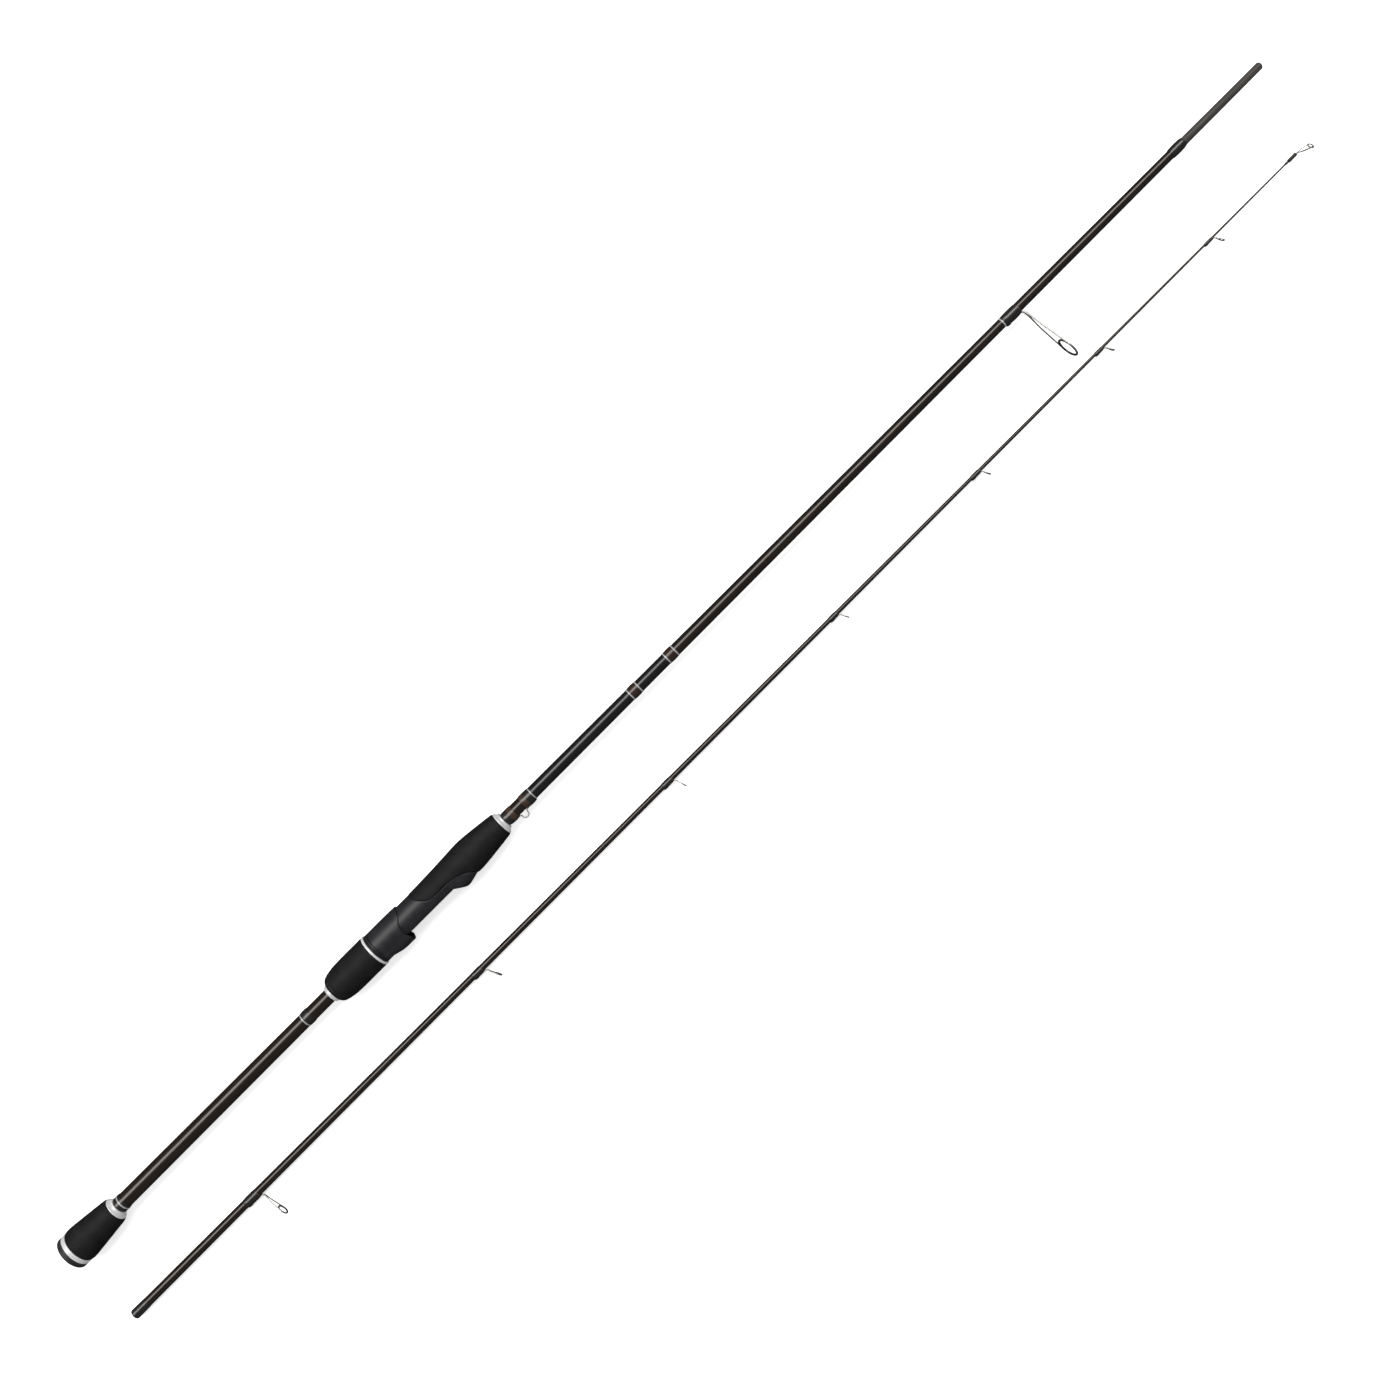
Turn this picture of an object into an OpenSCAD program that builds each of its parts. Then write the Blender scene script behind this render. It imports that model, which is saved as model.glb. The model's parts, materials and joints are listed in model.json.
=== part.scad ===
// Two-piece spinning rod. Its two sections lie side by side on a flat surface.
// X runs along the rod from the butt to the tip, and the guides point towards -Y.
// The origin is on the surface, under the middle of the object.

/* [Butt section] */
// Length from the butt cap to the end of the spigot
butt_length = 1086; // [1000:1:1300]
// Outside diameter of the blank at the butt cap
blank_butt_d = 11; // [9.4:0.1:12.6]
// Outside diameter of the blank where the spigot starts
blank_top_d = 6.1; // [5.4:0.1:7]
// Wall of the butt section's carbon tube
blank_wall = 0.8; // [0.6:0.1:1]
// Length of the bare tapered spigot
spigot_length = 70; // [50:5:90]
// Step down from the blank to the spigot
spigot_step = 0.2; // [0.05:0.05:0.3]
// Loss of diameter along the spigot's taper
spigot_taper = 0.4; // [0.3:0.05:0.7]
// Length of the spigot's straight end
spigot_land = 12; // [8:1:20]

/* [Butt grip] */
// Thickness of the rubber butt cap
cap_thickness = 4; // [3:0.5:6]
// Diameter of the rubber butt cap
cap_d = 24; // [22:0.2:25]
// Depth of the cap's plug in the blank
cap_plug_length = 12; // [8:1:20]
// Length of the metal ring in front of the cap
butt_ring_length = 3.2; // [2:0.2:5]
// Diameter of the metal ring in front of the cap
butt_ring_d = 24; // [22:0.2:25]
// Length of the foam butt grip
butt_grip_length = 33.6; // [30:0.4:60]
// Largest diameter of the foam butt grip
butt_grip_d = 24.6; // [24:0.2:30]
// Diameter of the foam butt grip at its front
butt_grip_front_d = 18.6; // [17:0.2:22]

/* [Winding checks] */
// Length of a winding check
check_length = 3.2; // [2.4:0.2:4]
// Wall of a winding check at its small end, measured from the blank at the butt
check_wall = 0.7; // [0.6:0.1:1.4]
// Rise of a winding check from its small end to its face
check_rise = 2; // [1.4:0.1:2.2]

/* [Reel seat] */
// Distance from the butt to the front of the closing nut
nut_front = 281; // [270:1:420]
// Outside diameter of the seat's bare body
seat_d = 20; // [18.8:0.2:23]
// Wall of the sliding hood beside the body, with which the nut's collar lines up
hood_side_wall = 1; // [0.8:0.1:1.6]
// Depth of the flat bed below the round body
bed_cut = 2; // [1.2:0.1:2]
// Height of the pockets that hold the reel foot
pocket_height = 3.8; // [3:0.1:4.2]
// Wall of the hoods over the pockets
hood_wall = 1.5; // [1.2:0.1:2]
// Gap between the mouths of the two hoods at rest
foot_gap = 40; // [36:1:48]
// Step from the seat's body down to the crest of its thread
thread_step = 1.3; // [1.2:0.1:1.6]
// Pitch of the seat's thread
thread_pitch = 2; // [1.5:0.25:2.5]
// Depth of the seat's thread
thread_depth = 0.7; // [0.4:0.1:0.8]
// Wall of the threaded barrel below its thread, around the bore that the arbors fill
barrel_wall = 1.2; // [0.8:0.1:1.4]
// Travel of the hood towards the butt
hood_back = 8; // [4:1:10]
// Travel of the hood towards the tip
hood_forward = 11; // [6:1:12]

/* [Rear grip and foregrip] */
// Length of the foam sleeve on the nut
rear_grip_length = 36.8; // [32:0.4:44]
// Thickness of the foam sleeve on the nut
rear_foam = 2; // [1.6:0.1:3]
// Wall of the nut's tube inside that sleeve
nut_wall = 1.1; // [0.8:0.1:1.2]
// Length of the metal ring in front of the sleeve
nut_ring_length = 1.6; // [1:0.2:3]
// Length of the nut's collar
nut_collar_length = 2.8; // [2:0.2:4]
// Length of the foam foregrip, from its rear tongue to its check
foregrip_length = 75; // [70:1:90]
// Swell of the foam foregrip above the seat's body
foregrip_swell = 1.8; // [1.6:0.1:2.4]
// Diameter of the foam foregrip at its front
foregrip_front_d = 17.4; // [16.8:0.2:20]

/* [Hook keeper] */
// Distance from the foregrip's check to the keeper's middle
keeper_offset = 12.2; // [11:0.2:20]
// Wire diameter of the hook keeper
keeper_wire_d = 0.8; // [0.6:0.1:1]
// Width of the keeper's loop between wire centres
keeper_width = 4.6; // [4:0.2:6]
// Height of the keeper's loop above the blank
keeper_height = 4.6; // [4.2:0.2:7]

/* [Butt guide] */
// Distance from the end of the spigot back to the butt guide's foot
butt_guide_back = 221; // [200:1:260]
// Height of the butt guide's ring centre above the rod's axis
butt_guide_height = 41.3; // [34:0.5:46]
// Outside diameter of the butt guide's ring
butt_guide_d = 16; // [12:0.5:20]
// Wire diameter of the butt guide
butt_guide_wire_d = 1.15; // [0.9:0.05:1.4]

/* [Tip section] */
// Length from the socket's mouth to the tip-top
tip_length = 1081; // [980:1:1280]
// Wall of the socket around the thick end of the spigot
socket_wall = 0.38; // [0.3:0.02:0.6]
// Outside diameter of the blank at the tip-top
tip_end_d = 1.1; // [1:0.1:1.4]
// Radial gap between the spigot and its socket
ferrule_gap = 0.02; // [0.01:0.01:0.1]
// Length of the spigot that stays out when the rod is put together
ferrule_spare = 6; // [3:1:10]
// Length of the reinforced tube that holds the socket
socket_tube_length = 70; // [66:1:100]
// Diameter of the first tip guide's ring
first_guide_d = 8; // [6:0.5:10]
// Height of the first tip guide's ring centre above the blank's axis
first_guide_height = 19.7; // [16:0.5:24]
// Wall of the tip-top's tube
tip_tube_wall = 0.65; // [0.4:0.05:0.9]
// Length of the tip-top's tube
tip_tube_length = 7; // [5:0.5:10]

/* [Layout] */
// Distance between the axes of the two sections
section_gap = 57.1; // [50:1:80]
// Distance from the butt cap's end to the socket's mouth, negative where the mouth stands out beyond it
tip_start = -3; // [-10:0.5:10]

/* [Thread wraps] */
// Thickness of the lacquered thread on the handle end
wrap_thickness = 0.35; // [0.25:0.05:0.5]
// Thickness of a metallic trim band on top of a wrap
band_thickness = 0.12; // [0.08:0.02:0.2]
// Width of a metallic trim band
band_width = 0.9; // [0.6:0.1:1.4]

/* [Hidden] */
$fn = 72;

foam_color = [0.07, 0.07, 0.08];
plastic_color = [0.16, 0.16, 0.18];
metal_color = [0.78, 0.78, 0.8];
carbon_color = [0.11, 0.09, 0.08];
wrap_color = [0.05, 0.04, 0.04];
bronze_color = [0.42, 0.24, 0.14];
ceramic_color = [0.12, 0.12, 0.14];

// diameters that follow from the sizes above
spigot_root_d = blank_top_d - 2 * spigot_step;
spigot_end_d = spigot_root_d - spigot_taper;
check_small_d = blank_butt_d + 2 * check_wall;
check_d = check_small_d + 2 * check_rise;
rear_check_d = blank_butt_d + 2.2;

// the seat: the hood slides on its body, and the nut turns on its thread
slide_gap = 0.2;
thread_gap = 0.1;
lip_gap = 0.15;
bed_height = seat_d / 2 - bed_cut;
thread_d = seat_d - 2 * thread_step;
seat_bore_d = thread_d - 2 * thread_depth - 2 * barrel_wall;
hood_bore_d = seat_d + 2 * slide_gap;
hood_d = hood_bore_d + 2 * hood_side_wall;
nut_bore_d = thread_d + 2 * thread_gap;
nut_tube_d = nut_bore_d + 2 * nut_wall;
nut_neck_d = nut_bore_d + 0.8;
nut_rim_d = nut_neck_d + 1.2;
rear_grip_d = nut_tube_d + 2 * rear_foam;
foregrip_d = seat_d + 2 * foregrip_swell;
handle_d = max(cap_d, butt_ring_d, butt_grip_d, rear_grip_d, foregrip_d);
bed_step = 0.3;
nose_drop = 4;
nose_r = bed_height + pocket_height + hood_wall - nose_drop;
pocket_r = nose_r - hood_wall;
pocket_depth = 10;

// stations along the butt section, measured from the butt
grip_start = cap_thickness + butt_ring_length;
grip_end = grip_start + butt_grip_length;
butt_wrap_start = grip_end + check_length;
butt_wrap_length = 5.8;
nut_rear_cap = 2.2;
nut_collar_start = nut_front - nut_collar_length;
rear_grip_end = nut_collar_start - nut_ring_length;
rear_grip_start = rear_grip_end - rear_grip_length;
rear_check_length = 2.8;
rear_check_gap = 0.35;
rear_wrap_start = rear_grip_start - hood_back - 17.4;
rear_wrap_length = 5.2;
hood_start = nut_front + 0.2;
hood_lip_length = 1.8;
nut_neck_length = 4;
hood_mouth = nut_front + 20.6;
barrel_start = rear_grip_start + nut_rear_cap + hood_forward + 1.5;
body_start = nut_front + nut_neck_length + hood_forward + 0.7;
seat_mouth = hood_mouth + foot_gap;
foregrip_start = hood_mouth + 16.4;
foregrip_end = foregrip_start + foregrip_length;
core_end = foregrip_end - 23;
keeper_at = foregrip_end + check_length + keeper_offset;
keeper_wrap_length = 8.6;
keeper_wrap_gap = keeper_width / 2 + 1.1;
middle_wrap_at = [foregrip_end + 118.3, foregrip_end + 151.4];
middle_wrap_length = 6.4;
butt_guide_at = butt_length - butt_guide_back;
spigot_start = butt_length - spigot_length;
ferrule_wrap_length = 12;

// tip section: share of its length for each guide, ring centre height, ring diameter, forward lean
guide_share = [0.1057, 0.2963, 0.4576, 0.5984, 0.72, 0.825, 0.9185];
guide_height = [first_guide_height, 10.4, 8.4, 6.2, 5.6, 5.5, 5.5];
guide_ring_d = [first_guide_d, 5.6, 4.7, 4.2, 4, 4, 4];
guide_lean = [8, 27, 18, 27, 26, 30, 30];
guide_wire = [0.8, 0.7, 0.65, 0.6, 0.6, 0.6, 0.6];
guide_wrap = [12.7, 9.8, 9.7, 8.2, 9.4, 8.8, 9];
butt_guide_lean = 6.5;
butt_guide_wrap = 14.4;
tip_ring_d = 4.8;
tip_ring_height = 3.1;
tip_ring_lean = 16;
tip_wire_d = 0.6;
tip_ring_at = tip_length - 1.4;
tip_tube_start = tip_ring_at - 17.4;
tip_blank_end = tip_tube_start + tip_tube_length - 1;
tip_tube_d = tip_end_d + 2 * tip_tube_wall;
tip_wall = 0.55;
socket_d = spigot_root_d + 2 * ferrule_gap + 2 * socket_wall;
tip_hollow_share = 0.6;
socket_depth = spigot_length - ferrule_spare;
socket_wrap_d = socket_d + 0.5;
socket_wrap_length = 13;

// the tip blank's diameter at shares of its length, from the socket down to the tip
tip_taper = [
  for (share = [[0, 1], [0.27, 0.685], [0.55, 0.426], [0.7, 0.296], [0.82, 0.185], [1, 0]])
    [share[0], tip_end_d + (socket_d - tip_end_d) * share[1]]
];

function butt_r(s) = (blank_butt_d + (blank_top_d - blank_butt_d) * s / spigot_start) / 2;
function tip_r(s) = lookup(s / tip_blank_end, tip_taper) / 2;
function section_r(tip, s) = tip ? tip_r(s) : butt_r(s);
function hoop_d(wire) = 1.15 * wire;
function hoop_r(ring_d, wire) = (ring_d - hoop_d(wire)) / 2;
function insert_r(ring_d, wire) = hoop_r(ring_d, wire) - 0.1 * wire;
function foot_height(wire) = 0.7 * wire;
function guide_reach(h, d, wire, lean) = h + hoop_r(d, wire) * cos(lean) + hoop_d(wire) / 2;

// a smooth curve through a short list of points
function curve_point(p, i, t) =
  let(
    a = p[max(i - 1, 0)],
    b = p[i],
    c = p[i + 1],
    d = p[min(i + 2, len(p) - 1)]
  )
  0.5 * (2 * b + (c - a) * t + (2 * a - 5 * b + 4 * c - d) * t * t + (3 * b - a - 3 * c + d) * t * t * t);
function smooth(p, steps = 4) =
  [for (i = [0:len(p) - 2], k = [0:steps - 1]) curve_point(p, i, k / steps), p[len(p) - 1]];

tip_reach = guide_reach(guide_height[0], guide_ring_d[0], guide_wire[0], guide_lean[0]);
butt_y = (section_gap + tip_reach - handle_d / 2) / 2;
tip_y = butt_y - section_gap;
butt_z = handle_d / 2;
butt_x = (-max(butt_length, tip_start + tip_length) - min(0, tip_start)) / 2;
tip_z = guide_ring_d[0] / 2;

// the hood's front edge and the foregrip's wavy edge, seen from above
hood_edge = smooth([
  [hood_mouth + 4.4, hood_d / 2 + 2],
  [hood_mouth + 4.8, 9],
  [hood_mouth + 3.6, 4.5],
  [hood_mouth + 0.8, 0.8],
  [hood_mouth - 0.6, -3],
  [hood_mouth - 1.2, -6.6],
  [hood_mouth - 0.2, -9],
  [hood_mouth, -11.4]
]);
foam_edge = smooth([
  [foregrip_start, foregrip_d / 2 + 2],
  [foregrip_start + 0.4, 8.4],
  [foregrip_start + 3, 3.6],
  [foregrip_start + 8, -1.6],
  [foregrip_start + 14, -2.8],
  [foregrip_start + 22, -2.8],
  [foregrip_start + 30, -3.6],
  [foregrip_start + 36, -5.6],
  [foregrip_start + 40.5, -8.6],
  [foregrip_start + 45, -foregrip_d / 2 - 3]
]);

module in_butt_section() {
  translate([butt_x, butt_y, butt_z]) children();
}

module in_tip_section() {
  translate([butt_x + tip_start, tip_y, tip_z]) children();
}

// turns a profile of [radius, station] points about the section's axis
module turned(points) {
  rotate([0, 90, 0]) rotate_extrude() polygon(points);
}

module rod_x(d, from, to) {
  translate([from, 0, 0]) rotate([0, 90, 0]) cylinder(d = d, h = to - from);
}

// a slab that keeps everything inside an outline seen from above
module seen_from_above(points) {
  translate([0, 0, -20]) linear_extrude(height = 40) polygon(points);
}

module strut(p, q, d) {
  v = q - p;
  length = norm(v);
  translate(p)
    rotate([0, acos(v[2] / length), atan2(v[1], v[0])])
      cylinder(d = d, h = length, $fn = 48);
}

// outside of the butt section's tube, up to the end of the spigot
module butt_tube_outside() {
  turned([
    [0, cap_thickness],
    [butt_r(cap_thickness), cap_thickness],
    [butt_r(spigot_start), spigot_start],
    [spigot_root_d / 2, spigot_start],
    [spigot_end_d / 2, butt_length - spigot_land],
    [spigot_end_d / 2, butt_length - 0.8],
    [spigot_end_d / 2 - 0.6, butt_length],
    [0, butt_length]
  ]);
}

module tip_tube_outside() {
  turned(concat(
    [[0, 0]],
    [for (t = tip_taper) [t[1] / 2, t[0] * tip_blank_end]],
    [[0, tip_blank_end]]
  ));
}

module tube_outside(tip) {
  if (tip) tip_tube_outside();
  if (!tip) butt_tube_outside();
}

// lacquered thread around the tube, rounded over at both ends
module wrap_body(tip, from, to, thickness) {
  steps = 6;
  rounded = [
    for (k = [0:steps])
      let(t = k / steps, s = from + (to - from) * t)
      [section_r(tip, s) + thickness * (0.2 + 0.8 * pow(sin(180 * t), 0.4)), s]
  ];
  turned(concat([[0, from]], rounded, [[0, to]]));
}

// the same wrap over a foot of the given height, which it covers with a swelling set off to that side
module foot_wrap(tip, from, to, thickness, foot) {
  steps = 6;
  difference() {
    union() {
      wrap_body(tip, from, to, thickness);
      translate([0, -foot / 2, 0]) turned(concat(
        [[0, from + 0.3]],
        [for (k = [0:steps])
          let(t = k / steps, s = from + 0.3 + (to - from - 0.35) * t)
          [section_r(tip, s) - foot / 2 + (foot + thickness) * pow(sin(10 + 130 * t), 0.7), s]],
        [[0, to - 0.05]]
      ));
    }
    tube_outside(tip);
  }
}

module plain_wrap(tip, from, to, thickness) {
  difference() {
    wrap_body(tip, from, to, thickness);
    tube_outside(tip);
  }
}

// a metallic thread laid on top of a wrap or straight on the tube
module trim_band(tip, at, width, under) {
  r = section_r(tip, at) + under;
  translate([at, 0, 0]) rotate([0, 90, 0]) difference() {
    cylinder(r = r + band_thickness, h = width);
    translate([0, 0, -1]) cylinder(r = r, h = width + 2);
  }
}

// a single-foot guide: foot on the tube, two wires and a hoop round the ceramic ring
module guide_foot(tip, at, length, wire) {
  r = section_r(tip, at);
  difference() {
    translate([at - length, -r - foot_height(wire), -0.8 * wire])
      cube([length + 0.3 * wire, foot_height(wire) + 0.4 * r, 1.6 * wire]);
    tube_outside(tip);
  }
}

module in_guide_plane(tip, at, wire, lean) {
  translate([at, -section_r(tip, at) - 0.35 * wire, 0]) rotate([0, 0, lean]) children();
}

module guide_wires(length, ring_d, wire) {
  spread = asin(hoop_r(ring_d, wire) / length);
  reach = sqrt(length * length - pow(hoop_r(ring_d, wire), 2));
  for (side = [-1, 1]) rotate([90 + side * spread, 0, 0]) cylinder(d = wire, h = reach, $fn = 48);
}

module guide_frame(tip, at, height, ring_d, wire, lean, foot_length) {
  length = (height - section_r(tip, at) - 0.35 * wire) / cos(lean);
  color(metal_color) difference() {
    union() {
      guide_foot(tip, at, foot_length, wire);
      in_guide_plane(tip, at, wire, lean) {
        guide_wires(length, ring_d, wire);
        translate([0, -length, 0])
          rotate([0, 90, 0])
            rotate_extrude()
              translate([hoop_r(ring_d, wire), 0]) circle(d = hoop_d(wire), $fn = 48);
      }
    }
    in_guide_plane(tip, at, wire, lean)
      translate([-wire, -length, 0])
        rotate([0, 90, 0]) cylinder(r = insert_r(ring_d, wire), h = 2 * wire);
    tube_outside(tip);
  }
}

module guide_ring(tip, at, height, ring_d, wire, lean) {
  length = (height - section_r(tip, at) - 0.35 * wire) / cos(lean);
  outer = insert_r(ring_d, wire);
  half = 0.62 * wire;
  bore = outer - 0.85 * wire;
  chamfer = 0.35 * wire;
  color(ceramic_color)
    in_guide_plane(tip, at, wire, lean)
      translate([0, -length, 0])
        turned([
          [outer, -half], [bore + chamfer, -half], [bore, chamfer - half],
          [bore, half - chamfer], [bore + chamfer, half], [outer, half]
        ]);
}

module guide_wrap(tip, at, wire, length, thickness) {
  color(wrap_color) difference() {
    foot_wrap(tip, at - length, at - 0.6 * wire, thickness, foot_height(wire));
    guide_foot(tip, at, length - 2, wire);
  }
}

module butt_cap() {
  color(wrap_color) in_butt_section() {
    turned([
      [0, 0], [cap_d / 2 - 2.2, 0], [cap_d / 2 - 0.8, 0.7], [cap_d / 2, 2.2],
      [cap_d / 2, cap_thickness], [0, cap_thickness]
    ]);
    rod_x(blank_butt_d - 2 * blank_wall - 0.3, cap_thickness - 1, cap_thickness + cap_plug_length);
  }
}

module butt_ring() {
  color(metal_color) in_butt_section() difference() {
    turned([
      [0, cap_thickness], [butt_ring_d / 2 - 0.3, cap_thickness], [butt_ring_d / 2, cap_thickness + 0.4],
      [butt_ring_d / 2, grip_start - 0.4], [butt_ring_d / 2 - 0.3, grip_start], [0, grip_start]
    ]);
    butt_tube_outside();
  }
}

module butt_grip() {
  color(foam_color) in_butt_section() difference() {
    turned(concat(
      [[0, grip_start]],
      smooth([
        [butt_grip_d / 2 - 0.5, grip_start],
        [butt_grip_d / 2, grip_start + 4],
        [butt_grip_d / 2 - 1, grip_start + butt_grip_length * 0.4],
        [butt_grip_front_d / 2 + 0.5, grip_end - 4],
        [butt_grip_front_d / 2 - 0.1, grip_end - 1],
        [butt_grip_front_d / 2 - 1, grip_end]
      ]),
      [[0, grip_end]]
    ));
    butt_tube_outside();
  }
}

module check_ring(from, large_d, small_d, length) {
  difference() {
    turned([
      [0, from], [large_d / 2, from], [large_d / 2, from + 0.8],
      [small_d / 2, from + length - 0.6], [small_d / 2, from + length], [0, from + length]
    ]);
    butt_tube_outside();
  }
}

module butt_check() {
  color(metal_color) in_butt_section() check_ring(grip_end, check_d, check_small_d, check_length);
}

module butt_wrap() {
  color(wrap_color) in_butt_section()
    plain_wrap(false, butt_wrap_start, butt_wrap_start + butt_wrap_length, wrap_thickness);
}

module butt_band() {
  color(metal_color) in_butt_section()
    trim_band(false, butt_wrap_start + butt_wrap_length * 0.55, band_width, wrap_thickness);
}

module butt_blank() {
  color(carbon_color) in_butt_section() difference() {
    butt_tube_outside();
    turned([
      [0, cap_thickness - 1],
      [blank_butt_d / 2 - blank_wall, cap_thickness - 1],
      [blank_butt_d / 2 - blank_wall, cap_thickness + cap_plug_length + 2],
      [spigot_end_d / 2 - blank_wall, spigot_start],
      [spigot_end_d / 2 - blank_wall, butt_length + 1],
      [0, butt_length + 1]
    ]);
  }
}

module rear_wrap() {
  color(wrap_color) in_butt_section()
    plain_wrap(false, rear_wrap_start, rear_wrap_start + rear_wrap_length, wrap_thickness);
}

module rear_band() {
  color(metal_color) in_butt_section()
    trim_band(false, rear_wrap_start - band_width, band_width, 0);
}

// the round-backed body with the nose of the fixed hood
module seat_outside() {
  turned([
    [0, body_start], [seat_d / 2, body_start], [seat_d / 2, foregrip_start + 14],
    [seat_d / 2 + 0.5, foregrip_start + 28], [foregrip_d / 2 - 0.5, foregrip_start + 45],
    [0, foregrip_start + 45]
  ]);
  intersection() {
    translate([0, -nose_drop, 0]) rod_x(2 * nose_r, seat_mouth, foregrip_start + 45);
    seen_from_above(concat(
      [[seat_mouth, 0]],
      smooth([
        [seat_mouth, 0.5 - bed_height],
        [seat_mouth + 7.2, -nose_drop - nose_r + 0.5],
        [seat_mouth + 9.6, -nose_drop - nose_r],
        [seat_mouth + 13, -nose_drop - nose_r + 0.8],
        [seat_mouth + 17.5, -nose_drop - nose_r + 2.1],
        [foregrip_start + 45, 1 - foregrip_d / 2]
      ]),
      [[foregrip_start + 45, 0]]
    ));
  }
}

// everything above the flat bed, a lower floor along the thread and under the sliding hood,
// and one in the fixed hood's pocket
module above_bed() {
  floor_y = bed_step - bed_height - 20;
  translate([body_start, -bed_height - 20, -20]) cube([seat_mouth - body_start, 20, 40]);
  translate([barrel_start - 1, floor_y, -20]) cube([hood_mouth + 1.4 - barrel_start, 20, 40]);
  intersection() {
    translate([0, -nose_drop, 0]) rod_x(2 * pocket_r, seat_mouth - 1, seat_mouth + 2 + pocket_depth);
    translate([seat_mouth - 1, floor_y, -20]) cube([30, 20, 40]);
  }
}

module thread_core() {
  crest = thread_d / 2;
  root = crest - thread_depth;
  turns = floor((body_start - barrel_start - 2) / thread_pitch);
  turned(concat(
    [[0, barrel_start], [root, barrel_start]],
    [for (k = [0:turns - 1], c = [0:3])
      let(at = barrel_start + 1 + k * thread_pitch)
      [c == 1 || c == 2 ? crest : root, at + thread_pitch * [0.1, 0.35, 0.65, 0.9][c]]],
    [[root, body_start], [crest, body_start], [crest, core_end], [0, core_end]]
  ));
}

module reel_seat() {
  color(plastic_color) in_butt_section() difference() {
    union() {
      thread_core();
      difference() {
        seat_outside();
        seen_from_above(foam_outline());
      }
    }
    above_bed();
    rod_x(seat_bore_d, barrel_start - 1, core_end + 1);
  }
}

function foam_outline() =
  concat(foam_edge, [[foregrip_end + 1, -foregrip_d], [foregrip_end + 1, foregrip_d]]);

module arbor(from, to) {
  difference() {
    rod_x(seat_bore_d, from, to);
    butt_tube_outside();
  }
}

module seat_arbors() {
  color("tan") in_butt_section() {
    arbor(barrel_start + 1, barrel_start + 19);
    arbor(body_start + 2, body_start + 20);
    arbor(core_end - 20, core_end - 1);
  }
}

module foregrip() {
  color(foam_color) in_butt_section() difference() {
    intersection() {
      turned(concat(
        [[0, foregrip_start]],
        smooth([
          [seat_d / 2 + 0.2, foregrip_start],
          [foregrip_d / 2 - 1.1, foregrip_start + 20],
          [foregrip_d / 2 - 0.4, foregrip_start + 36],
          [foregrip_d / 2, foregrip_start + 47],
          [foregrip_d / 2 - 1.35, foregrip_end - 14],
          [foregrip_front_d / 2 + 0.5, foregrip_end - 3.5],
          [foregrip_front_d / 2 + 0.1, foregrip_end - 1],
          [foregrip_front_d / 2 - 0.5, foregrip_end]
        ]),
        [[0, foregrip_end]]
      ));
      seen_from_above(foam_outline());
    }
    rod_x(thread_d, foregrip_start - 5, core_end);
    butt_tube_outside();
  }
}

module foregrip_check() {
  color(metal_color) in_butt_section() check_ring(foregrip_end, check_d, check_small_d, check_length);
}

// the keeper's wire: two feet under the wraps and a loop between them
module keeper_feet() {
  reach = keeper_width / 2 + 7;
  translate([0, -butt_r(keeper_at) - 0.3 * keeper_wire_d, 0]) difference() {
    rod_x(keeper_wire_d, keeper_at - reach, keeper_at + reach);
    rod_x(2 * keeper_wire_d, keeper_at - keeper_width / 2, keeper_at + keeper_width / 2);
  }
}

module keeper_loop() {
  base = butt_r(keeper_at) + 0.1 * keeper_wire_d;
  top = butt_r(keeper_at) + keeper_height - keeper_wire_d / 2 - keeper_width / 2;
  for (side = [-1, 1])
    translate([keeper_at + side * keeper_width / 2, -base, 0])
      rotate([90, 0, 0]) cylinder(d = 1.1 * keeper_wire_d, h = top - base, $fn = 48);
  translate([keeper_at, -top, 0])
    rotate([0, 0, 180])
      rotate_extrude(angle = 180)
        translate([keeper_width / 2, 0]) circle(d = 1.1 * keeper_wire_d, $fn = 48);
}

module hook_keeper() {
  color(metal_color) in_butt_section() difference() {
    union() {
      keeper_feet();
      keeper_loop();
    }
    butt_tube_outside();
  }
}

module keeper_wrap(from, to) {
  color(wrap_color) in_butt_section() difference() {
    foot_wrap(false, from, to, wrap_thickness, 0.8 * keeper_wire_d);
    keeper_feet();
  }
}

module keeper_wrap_rear() {
  at = keeper_at - keeper_wrap_gap;
  keeper_wrap(at - keeper_wrap_length, at);
}

module keeper_wrap_front() {
  at = keeper_at + keeper_wrap_gap;
  keeper_wrap(at, at + keeper_wrap_length);
}

module keeper_band() {
  color(metal_color) in_butt_section()
    trim_band(false, keeper_at + keeper_wrap_gap + keeper_wrap_length, band_width, 0);
}

module middle_wrap(at) {
  color(bronze_color) in_butt_section() plain_wrap(false, at, at + middle_wrap_length, wrap_thickness);
}

module middle_wrap_rear() {
  middle_wrap(middle_wrap_at[0]);
}

module middle_wrap_front() {
  middle_wrap(middle_wrap_at[1]);
}

module middle_bands() {
  color(metal_color) in_butt_section()
    for (at = middle_wrap_at) {
      trim_band(false, at - band_width, band_width, 0);
      trim_band(false, at + middle_wrap_length, band_width, 0);
    }
}

module butt_guide_frame() {
  in_butt_section() guide_frame(
    false, butt_guide_at, butt_guide_height, butt_guide_d, butt_guide_wire_d,
    butt_guide_lean, butt_guide_wrap - 2
  );
}

module butt_guide_ring() {
  in_butt_section() guide_ring(
    false, butt_guide_at, butt_guide_height, butt_guide_d, butt_guide_wire_d, butt_guide_lean
  );
}

module butt_guide_wrap() {
  in_butt_section()
    guide_wrap(false, butt_guide_at, butt_guide_wire_d, butt_guide_wrap, wrap_thickness);
}

module butt_guide_band() {
  color(metal_color) in_butt_section()
    trim_band(false, butt_guide_at - butt_guide_wrap - band_width, band_width, 0);
}

module ferrule_wrap() {
  color(wrap_color) in_butt_section()
    plain_wrap(false, spigot_start - ferrule_wrap_length, spigot_start - 0.5, 1.6 * wrap_thickness);
}

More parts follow.
